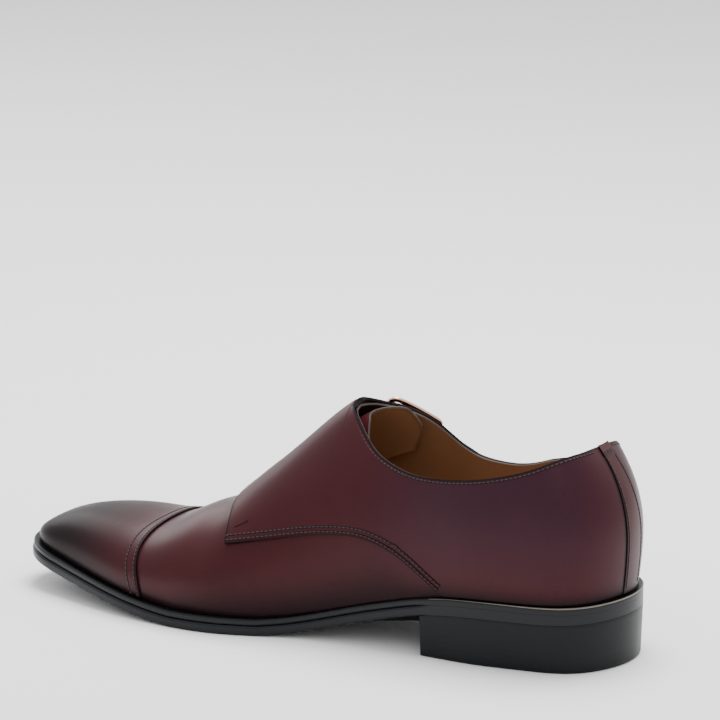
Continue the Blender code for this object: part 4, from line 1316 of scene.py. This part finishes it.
    def build_inner_quarter(self) -> bpy.types.Object:
        """Inner quarter with its flap over the instep and two straps on the outer side."""
        back = heel_ring(BACKSTAY_WIDTH / 2 + CURVED_GAP)
        front = float(ring_of(FLAP_FRONT[-1][1]))
        roots = np.array([edge[0, 0] for course in self.courses for edge in (course.rear, course.front)])
        rings = rings_through(back, front, self.columns, np.unique(roots))
        shares = np.linspace(0, 1, self.rows)
        turn = float(ring_of(FLAP_TURN_STATION))
        ahead = np.clip((rings - turn) / (front - turn), 0, 1)
        ring = rings[None, :] + (flap_front(shares) - front)[:, None] * ahead[None, :]
        low = seam_rise(ring[0], Side.INNER)
        high = topline_rise(rings, Side.INNER)
        rise = low[None, :] + (high - low)[None, :] * shares[:, None]
        ring = narrowed(ring, rise)
        pressed = QUARTER_PRESS * ramp(station_of(ring), 0.44, 0.34)
        body = skin(ring, rise, Side.INNER, flap_offset(ring, rise) - pressed)
        spans = [(rings >= course.rear[0, 0] - 1e-7) & (rings <= course.front[0, 0] + 1e-7)
                 for course in self.courses]
        free = ~(spans[0] | spans[1])
        sideways = np.abs(rings[:, None] - rings[None, free]).min(1) * SOLE_LENGTH
        top = np.hypot(to_edge(body, "t"), np.where(free, 0.0, sideways)[None, :])
        patches = [self.shaded(body, ring, rise, Side.INNER, np.minimum(to_edge(body, "blr"), top))]
        for course, picked in zip(self.courses, spans):
            patches.append(self.strap_patch(course, rings[picked], body[-1, picked]))
        return self.panel("inner_quarter_leather", "inner_quarter", patches, PANEL_WALL)

    def build_edge_ink_and_shade(self) -> bpy.types.Object:
        """Black ink along the corner of the flap's front edge, drawn as a thin bead, and partly painted shade
        of the flap's step down to the vamp.
        """
        shares = np.linspace(0, 1, 90)
        ring = flap_front(shares)
        low = float(seam_rise(ring[:1], Side.INNER)[0])
        rise = low + (1 - low) * shares
        ring = ring - 0.0004
        points = skin(ring, rise, Side.INNER, flap_offset(ring, rise) + PANEL_WALL - 0.00012)
        loops = tube(points, outward(ring, rise, Side.INNER), 0.00030, tall=0.6)
        return block(Piece("flap_edge_ink_and_shade", (), "upper_leather", (self.finishes.cut_edge,)), loops, True)

    def strap_patch(self, course: Course, rings: Array, root: Array) -> Patch:
        """Grid of a strap from the ridge to its pointed end.

        Args:
            course: the strap.
            rings: rings of the flap's columns that the strap goes on from.
            root: the flap's points on the ridge in those columns.

        Returns:
            The strap's patch, its first row on the flap's.
        """
        share = (rings - rings[0]) / (rings[-1] - rings[0]) - 0.5
        along = np.linspace(0, course.length, 110)[:, None] + 0 * share
        across = 2 * course.half_breadth(along) * share
        grid = course.place(along, across, 0.0)
        grid = grid + (root - grid[0])[None, :, :] * ramp(along[:, :1], 0.006, 0.0)[..., None]
        ring, rise = course.spot(along, across)
        dark = self.darkness(ring, rise, Side.OUTER, to_edge(grid, "tlr"))
        return Patch(grid, True, dark, self.tint(ring, rise))

    def build_outer_quarter(self) -> bpy.types.Object:
        """Outer quarter, its front edge under the straps."""
        back = heel_ring(BACKSTAY_WIDTH / 2 + CURVED_GAP)
        rings = np.linspace(back, float(ring_of(OUTER_SEAM[-1][0])), 220)
        low = seam_rise(rings, Side.OUTER)
        stations = station_of(rings)
        top = topline_rise(rings, Side.OUTER)
        height = np.interp(stations, *np.transpose(OUTER_QUARTER_FRONT)) * COLLAR_HEIGHT
        front = rise_at(rings, height, Side.OUTER)
        high = np.where(stations < OUTER_QUARTER_FRONT[0][0], top, np.minimum(top, front))
        rise = low[None, :] + (high - low)[None, :] * np.linspace(0, 1, self.rows)[:, None]
        ring = narrowed(np.broadcast_to(rings, rise.shape), rise, Side.OUTER)
        pressed = QUARTER_PRESS * ramp(station_of(ring), 0.40, 0.30)
        grid = skin(ring, rise, Side.OUTER, CURVED_GAP - pressed)
        patch = self.shaded(grid, ring, rise, Side.OUTER, to_edge(grid, "btlr"))
        return self.panel("outer_quarter_leather", "outer_quarter", [patch], PANEL_WALL)

    def build_backstay(self) -> bpy.types.Object:
        """Strip over the back seam from the welt to the collar."""
        reach = heel_ring(BACKSTAY_WIDTH / 2)
        columns = np.linspace(-reach, reach, 41)
        low = low_rise(np.abs(columns), Side.INNER)
        high = topline_rise(np.abs(columns), Side.INNER)
        rise = low[None, :] + np.linspace(0, 1, self.rows)[:, None] * (high - low)[None, :]
        ring = narrowed(np.broadcast_to(columns, rise.shape), rise)
        grid = skin(ring, rise, Side.INNER, CURVED_GAP)
        dark = self.darkness(np.abs(ring), rise, Side.INNER, to_edge(grid, "lr"))
        return self.panel("backstay_leather", "backstay", [Patch(grid, True, dark)], BACKSTAY_WALL)

    def build_fold(self) -> bpy.types.Object:
        """Collar binding folded over the top of the backstay."""
        reach = heel_ring(BACKSTAY_WIDTH / 2) * 1.06
        columns = np.linspace(-reach, reach, 41)
        rise = topline_rise(np.abs(columns), Side.INNER)[None, :] + np.linspace(-0.040, 0.003, 16)[:, None]
        ring = narrowed(np.broadcast_to(columns, rise.shape), rise)
        grid = skin(ring, rise, Side.INNER, CURVED_GAP + BACKSTAY_WALL - 0.0002)
        dark = 0.5 * np.exp(-(to_edge(grid, "b") / self.skiving) ** 2)
        return self.panel("backstay_fold", "backstay", [Patch(grid, True, dark)], 0.0005, rounding=0.0002,
                          looks=("fold", "cut_edge"))

    def build_tongue(self) -> bpy.types.Object:
        """Tongue under the straps, its free edge standing in the opening."""
        turns = np.linspace(TONGUE_EDGE[0][0], TONGUE_EDGE[-1][0], 90)
        edge = ring_of(spline(*np.transpose(TONGUE_EDGE), turns))
        steps = np.linspace(0, 1, 60)
        ring = edge[None, :] + (float(ring_of(TONGUE_FRONT_STATION)) - edge[None, :]) * steps[:, None]
        rise = np.broadcast_to(turns, ring.shape)
        depth = UPPER_WALL + TONGUE_CLEARANCE + TONGUE_DROP * (1 - smooth_step(steps * 1.4))
        grid = skin(ring, rise, Side.INNER, -depth[:, None])
        dark = 0.6 * np.exp(-(to_edge(grid, "b") / 0.0012) ** 2)
        wall = TONGUE_THICKNESS - self.skiving
        return self.panel("tongue_leather", "tongue", [Patch(grid, False, dark)], wall, -1, 0.0005,
                          ("tongue", "lining_edge", "lining"))

    def build(self) -> list[bpy.types.Object]:
        """Build every leather piece of the upper."""
        return [
            self.build_lining(), self.build_vamp(), self.build_toe_cap(), self.build_inner_quarter(),
            self.build_edge_ink_and_shade(), self.build_outer_quarter(), self.build_backstay(), self.build_fold(),
            self.build_tongue(),
        ]


@dataclass
class Buckle:
    """Frame bowed to the foot, a round pin across its middle, and a prong."""

    course: Course
    name: str
    finish: bpy.types.Material

    def frame(self) -> bpy.types.Object:
        """Rounded rectangle with a rounded section carried round it."""
        length = BUCKLE_LENGTH
        width = STRAP_WIDTH + 2 * (BUCKLE_BAR + GAP)
        turns = np.linspace(0, math.pi / 2, 9)
        path = []
        for quarter, (sx, sy) in enumerate(((1, 1), (-1, 1), (-1, -1), (1, -1))):
            angle = turns + quarter * math.pi / 2
            aim = np.stack([np.cos(angle), np.sin(angle)], -1)
            middle = np.array([sx * (length / 2 - BUCKLE_CORNER), sy * (width / 2 - BUCKLE_CORNER)])
            path.append(np.concatenate([middle + BUCKLE_CORNER * aim, aim], axis=1))
        corners = np.concatenate(path)
        extra = []
        for a, b in zip(corners, np.roll(corners, -1, axis=0)):
            count = max(1, int(np.linalg.norm(b[:2] - a[:2]) / 0.0015))
            extra.append(a + (b - a) * (np.arange(count) / count)[:, None])
        ways = np.concatenate(extra)
        spots, aims = ways[:, :2], unit(ways[:, 2:])
        angle = np.linspace(0, 2 * math.pi, 16, endpoint=False)
        flat = np.abs(np.cos(angle)) ** 0.6 * np.sign(np.cos(angle))
        tall = np.abs(np.sin(angle)) ** 0.6 * np.sign(np.sin(angle))
        inset = BUCKLE_BAR / 2 * (1 - flat)
        lift = BUCKLE_THICKNESS / 2 * tall
        along = self.course.pin + spots[:, None, 0] - aims[:, None, 0] * inset
        across = spots[:, None, 1] - aims[:, None, 1] * inset
        ring, rise = self.course.spot(along, across)
        loops = skin(ring, rise, Side.OUTER, buckle_level() + np.broadcast_to(lift, ring.shape))
        piece = Piece(self.name + "_buckle_frame", (self.name + "_buckle",), "buckle_metal", (self.finish,))
        return block(piece, loops, False)

    def rod(self, name: str, nodes: tuple[str, ...], along: Array, across: Array, level: Array,
            radius: Array, lengthwise: bool) -> bpy.types.Object:
        """Round rod over the strap: circles carried along a row of spots.

        Args:
            name: piece's name.
            nodes: nodes it stands for.
            along: distance along the strap of each circle.
            across: distance across of each circle.
            level: height over the last of each circle.
            radius: radius of each circle.
            lengthwise: whether the rod runs along the strap.

        Returns:
            The object.
        """
        angle = np.linspace(0, 2 * math.pi, 14, endpoint=False)
        aside = radius[:, None] * np.cos(angle)
        lift = level[:, None] + radius[:, None] * np.sin(angle)
        a = along[:, None] + (0 if lengthwise else 1) * aside
        b = across[:, None] + (1 if lengthwise else 0) * aside
        ring, rise = self.course.spot(a, b)
        loops = skin(ring, rise, Side.OUTER, lift)
        return block(Piece(name, nodes, "buckle_metal", (self.finish,)), loops, True)

    def build(self) -> list[bpy.types.Object]:
        """Frame, pin and prong."""
        radius = PIN_DIAMETER / 2
        width = STRAP_WIDTH + 2 * (BUCKLE_BAR + GAP)
        reach = width / 2 - BUCKLE_BAR / 2
        across = np.linspace(-reach, reach, 15)
        level = buckle_level()
        same = np.ones_like(across)
        pin = self.rod(self.name + "_buckle_pin", (self.name + "_buckle",), self.course.pin * same, across,
                       level * same, radius * same, False)
        rest = level + BUCKLE_THICKNESS / 2 + GAP + radius
        root = level + radius + PANEL_WALL + 3 * GAP + radius
        share = np.linspace(0, 1, 16)
        along = self.course.pin - share * (BUCKLE_LENGTH / 2 + radius / 2)
        slim = radius * np.sqrt(np.clip(1 - (2 * share - 1) ** 8, 0.03, 1)) * (1 - 0.25 * share)
        prong = self.rod(self.name + "_prong_rod", (self.name + "_prong",), along, 0 * share,
                         root + (rest - root) * share, slim, True)
        return [self.frame(), pin, prong]


@dataclass
class Seam:
    """Row of stitches: points on the leather and the outward direction at each."""

    points: Array
    normals: Array

    def even(self, pitch: float) -> tuple[Array, Array, Array]:
        """Middles, tangents and normals at an even pitch along the row.

        Args:
            pitch: distance from stitch to stitch.

        Returns:
            Three arrays of vectors, one row a stitch.
        """
        run = run_length(self.points)
        count = max(2, int(run[-1] / pitch))
        at = (np.arange(count) + 0.5) * run[-1] / count
        middle = np.stack([np.interp(at, run, self.points[:, k]) for k in range(3)], -1)
        normal = unit(np.stack([np.interp(at, run, self.normals[:, k]) for k in range(3)], -1))
        ahead = np.stack([np.interp(at + pitch / 2, run, self.points[:, k]) for k in range(3)], -1)
        behind = np.stack([np.interp(at - pitch / 2, run, self.points[:, k]) for k in range(3)], -1)
        return middle, unit(ahead - behind), normal


def moved(ring: Array, rise: Array, side: Side, distance: float) -> tuple[Array, Array]:
    """Course moved sideways over the last's surface.

    The sideways step, the cross product of the outward direction and the course's own,
    is split into steps of ring and rise by the surface's two slopes.

    Args:
        ring: ring of each point of the course.
        rise: rise of each point.
        side: half of the shoe.
        distance: how far, to the left seen from outside.

    Returns:
        Ring and rise of the moved course.
    """
    reach = 1e-3
    by_ring = (form(ring + reach, rise, side) - form(ring - reach, rise, side)) / (2 * reach)
    by_rise = (form(ring, rise + reach, side) - form(ring, rise - reach, side)) / (2 * reach)
    points = form(ring, rise, side)
    tangent = unit(np.gradient(points, axis=0))
    aside = np.cross(outward(ring, rise, side), tangent)
    g11 = (by_ring ** 2).sum(-1)
    g12 = (by_ring * by_rise).sum(-1)
    g22 = (by_rise ** 2).sum(-1)
    r1 = (by_ring * aside).sum(-1)
    r2 = (by_rise * aside).sum(-1)
    scale = g11 * g22 - g12 ** 2
    return ring + distance * (g22 * r1 - g12 * r2) / scale, rise + distance * (g11 * r2 - g12 * r1) / scale


@dataclass
class Stitching:
    """All rows of stitches, one object for the thread and one for the painted shade of the grooves under it.
    """

    finishes: SimpleNamespace
    courses: tuple[Course, Course]
    pitch: float = 0.0021
    thread: float = 0.00032
    groove: float = 0.00055
    cap_rows: tuple[float, float] = (0.0013, 0.0058)
    seam_rows: tuple[float, float] = (0.0015, 0.0037)
    topline_row: float = 0.0014
    backstay_row: float = 0.0016
    strap_row: float = 0.0018
    hole_steps: tuple[float, ...] = (0.0125, 0.0185, 0.0245)
    hole_radius: float = 0.0010
    seams: list[Seam] = field(default_factory=list)

    def add(self, ring: Array, rise: Array, side: Side, offset: object) -> None:
        """Add a row by its course on the last and its height over it."""
        kept = rise > 0.010
        points = skin(ring, rise, side, offset)[kept]
        self.seams.append(Seam(points, outward(ring, rise, side)[kept]))

    def plan(self) -> None:
        """Lay every row: cap, quarters, topline, backstay and straps."""
        shares = np.linspace(0.012, 1, 160)
        edge = cap_edge(shares)
        for side in Side:
            for distance in self.cap_rows:
                self.add(*moved(edge, shares, side, side.value * distance), side, CAP_WALL + 0.0001)
        ends = {Side.INNER: (0.594, THROAT_STATION - 0.004), Side.OUTER: (0.540, 0.405)}
        for side, (seam_end, topline_end) in ends.items():
            rings = np.linspace(float(ring_of(SEAM_START[side] + 0.004)), float(ring_of(seam_end)), 200)
            rings = rings[seam_rise(rings, side) > 0.022]
            rise = seam_rise(rings, side)
            for distance in self.seam_rows:
                self.add(*moved(rings, rise, side, -side.value * distance), side, PANEL_WALL + CURVED_GAP)
            rings = np.linspace(heel_ring(BACKSTAY_WIDTH / 2 + 0.0045), float(ring_of(topline_end)), 220)
            ring, rise = moved(rings, topline_rise(rings, side), side, side.value * self.topline_row)
            offset = flap_offset(ring, rise) if side is Side.INNER else CURVED_GAP
            self.add(ring, rise, side, PANEL_WALL + offset - QUARTER_PRESS)
        reach = heel_ring(BACKSTAY_WIDTH / 2 - self.backstay_row)
        collar = float(topline_rise(np.array([reach]), Side.INNER)[0])
        for way in (-1, 1):
            rise = np.linspace(0.03, collar - 0.05, 80)
            self.add(narrowed(way * reach + 0 * rise, rise), rise, Side.INNER, CURVED_GAP + BACKSTAY_WALL)
        ring = np.linspace(-reach, reach, 40)
        rise = collar - 0.030 + 0 * ring
        self.add(narrowed(ring, rise), rise, Side.INNER, CURVED_GAP + BACKSTAY_WALL + 0.0003)
        for course in self.courses:
            along = np.linspace(0.004, course.length - 0.0022, 160)
            for way in (-1, 1):
                across = way * (course.half_breadth(along) - self.strap_row)
                points = course.place(along, across, PANEL_WALL)
                self.seams.append(Seam(points, outward(*course.spot(along, across), Side.OUTER)))

    def build_thread(self) -> bpy.types.Object:
        """Every stitch as a small closed spindle, the same form carried to each place."""
        rows = zip(*[seam.even(self.pitch) for seam in self.seams])
        middles, tangents, normals = (np.concatenate(row) for row in rows)
        asides = np.cross(normals, tangents)
        place = np.array([-1.0, -0.72, 0.0, 0.72, 1.0]) * self.pitch * 0.40
        thick = np.array([0.25, 0.85, 1.0, 0.85, 0.25]) * self.thread
        angle = np.linspace(0, 2 * math.pi, 6, endpoint=False)
        t = place[:, None] + 0 * angle
        a = thick[:, None] * np.cos(angle)
        n = thick[:, None] * np.sin(angle)
        local = np.stack([t, a, n], -1).reshape(-1, 3)
        axes = np.stack([tangents, asides, normals], 1)
        points = middles[:, None, :] + np.einsum("pk,skj->spj", local, axes)
        ring = np.arange(6)
        here = np.arange(0, 24, 6)[:, None] + ring
        there = np.arange(0, 24, 6)[:, None] + (ring + 1) % 6
        quads = np.stack([here, there, there + 6, here + 6], -1).reshape(-1, 4)
        count = len(middles)
        starts = (np.arange(count) * 30)[:, None, None]
        faces = (quads[None] + starts).reshape(-1, 4).tolist()
        caps = np.stack([ring[::-1], ring + 24])
        faces += (caps[None] + starts).reshape(-1, 6).tolist()
        mesh = bpy.data.meshes.new("stitches")
        mesh.from_pydata(in_frame(points).tolist(), [], faces)
        log.info("stitches: %d", count)
        return Piece("stitches", (), "upper_leather", (self.finishes.thread,)).make(mesh)

    def build_grooves(self) -> bpy.types.Object:
        """Thin dark bead lying on the leather under each row: painted shade of the needle groove."""
        pieces = []
        faces = []
        start = 0
        for seam in self.seams:
            loops = tube(seam.points, seam.normals, self.groove, tall=0.22, sides=6)
            wrapped = np.concatenate([loops, loops[:, :1]], axis=1)
            rows, columns = wrapped.shape[:2]
            faces += grid_faces(rows, columns, start).tolist()
            faces.append(list(range(start, start + columns - 1))[::-1])
            faces.append(list(range(start + (rows - 1) * columns, start + rows * columns - 1)))
            pieces.append(wrapped.reshape(-1, 3))
            start += rows * columns
        mesh = bpy.data.meshes.new("needle_grooves")
        mesh.from_pydata(in_frame(np.concatenate(pieces)).tolist(), [], faces)
        clean_mesh(mesh, recalculate=True)
        return Piece("needle_grooves", (), "upper_leather", (self.finishes.needle_line,)).make(mesh)

    def build_tack(self) -> bpy.types.Object:
        """Bar tack that holds the flap's corner: a ribbed bar of dense thread."""
        share = np.linspace(0, 1, 60)
        ring = ring_of(0.5850 - 0.0190 * share)
        rise = 0.520 + 0.008 * share
        points = skin(ring, rise, Side.INNER, flap_offset(ring, rise) + PANEL_WALL)
        radius = 0.00040 * (1 + 0.22 * np.cos(share * 2 * math.pi * 9))
        loops = tube(points, outward(ring, rise, Side.INNER), radius)
        return block(Piece("bar_tack", (), "upper_leather", (self.finishes.tack,)), loops, True)

    def build_holes(self, name: str, course: Course) -> list[bpy.types.Object]:
        """Buckle holes along a strap, each a thin dark disc on the leather: painted shade inside the hole."""
        made = []
        angle = np.linspace(0, 2 * math.pi, 16, endpoint=False)
        for number, distance in enumerate(self.hole_steps):
            along = course.pin + distance + self.hole_radius * np.cos(angle)
            if along.max() > course.length - 0.004:
                continue
            across = self.hole_radius * np.sin(angle)
            loops = np.stack([course.place(along, across, PANEL_WALL + up) for up in (-0.0002, 0.00006)])
            hole = "%s_strap_hole_%d" % (name, number)
            made.append(block(Piece(hole, (), "upper_leather", (self.finishes.needle_line,)), loops, True))
        return made

    def build(self) -> list[bpy.types.Object]:
        """Plan the rows, then build the holes, thread, grooves and the tack."""
        self.plan()
        made = []
        for name, course in zip(("upper", "lower"), self.courses):
            made += self.build_holes(name, course)
        return made + [self.build_thread(), self.build_grooves(), self.build_tack()]


@dataclass
class Studio:
    """Pale floor, soft lights and the photograph's camera."""

    floor_color: str = "#fbfbfb"
    camera_at: tuple[float, float, float] = (-0.7193, 1.5741, 0.5256)
    camera_aim: tuple[float, float, float] = (0.0919, 0.0, 0.1203)
    lens: float = 204.3
    sky: float = 1.10
    half_floor: float = 6.0
    lights: tuple = (
        ("overhead_soft", (0.10, -0.35, 1.5), 0.9, 35.0),
        ("front_soft", (-0.9, 1.6, 1.6), 1.0, 3.0),
        ("toe_soft", (1.4, -0.9, 0.9), 0.8, 5.0),
    )

    def build_floor(self) -> None:
        """Wide matt floor under the shoe."""
        mesh = bpy.data.meshes.new("studio_floor")
        half = self.half_floor
        corners = [(-half, -half, 0), (half, -half, 0), (half, half, 0), (-half, half, 0)]
        mesh.from_pydata(corners, [], [(0, 1, 2, 3)])
        # Matt backdrop paint: no shine, so that only the shoe's shadow shows
        finish = PlainFinish("matt_floor", self.floor_color, self.floor_color, 0.9, shine=0.0)
        mesh.materials.append(finish.build())
        floor = bpy.data.objects.new("studio_floor", mesh)
        bpy.context.scene.collection.objects.link(floor)

    def build_light(self, name: str, at: tuple, size: float, power: float) -> None:
        """Square soft light aimed at the shoe.

        Args:
            name: light's name.
            at: its place.
            size: side of the square.
            power: watts.
        """
        data = bpy.data.lights.new(name, "AREA")
        data.size = size
        data.energy = power
        lamp = bpy.data.objects.new(name, data)
        lamp.location = at
        lamp.rotation_euler = (Vector((0.09, 0, 0.04)) - Vector(at)).to_track_quat("-Z", "Y").to_euler()
        bpy.context.scene.collection.objects.link(lamp)

    def build_camera(self) -> None:
        """Camera at the photograph's angle."""
        data = bpy.data.cameras.new("camera")
        data.lens = self.lens
        data.sensor_width = 36.0
        camera = bpy.data.objects.new("camera", data)
        camera.location = self.camera_at
        aim = Vector(self.camera_aim) - Vector(self.camera_at)
        camera.rotation_euler = aim.to_track_quat("-Z", "Y").to_euler()
        bpy.context.scene.collection.objects.link(camera)
        bpy.context.scene.camera = camera

    def build(self) -> None:
        """Floor, lights, surroundings and camera."""
        self.build_floor()
        for light in self.lights:
            self.build_light(*light)
        world = bpy.data.worlds.new("studio")
        world.use_nodes = True
        sky = world.node_tree.nodes["Background"].inputs
        sky["Color"].default_value = linear("#ffffff")
        sky["Strength"].default_value = self.sky
        bpy.context.scene.world = world
        self.build_camera()


def main() -> None:
    """Build the shoe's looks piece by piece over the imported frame."""
    logging.basicConfig(level=logging.INFO)
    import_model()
    finishes = SimpleNamespace(**{key: finish.build() for key, finish in FINISHES.items()})
    courses = (Course(UPPER_STRAP, UPPER_BUCKLE_AT), Course(LOWER_STRAP, LOWER_BUCKLE_AT))
    made = Sole(finishes).build()
    made += Upper(finishes, courses).build()
    for name, course in zip(("upper", "lower"), courses):
        made += Buckle(course, name, finishes.plating).build()
    made += Stitching(finishes, courses).build()
    for item in made:
        log.info("piece %s: %d faces", item.name, len(item.data.polygons))
    Studio().build()


if __name__ == "__main__":
    main()
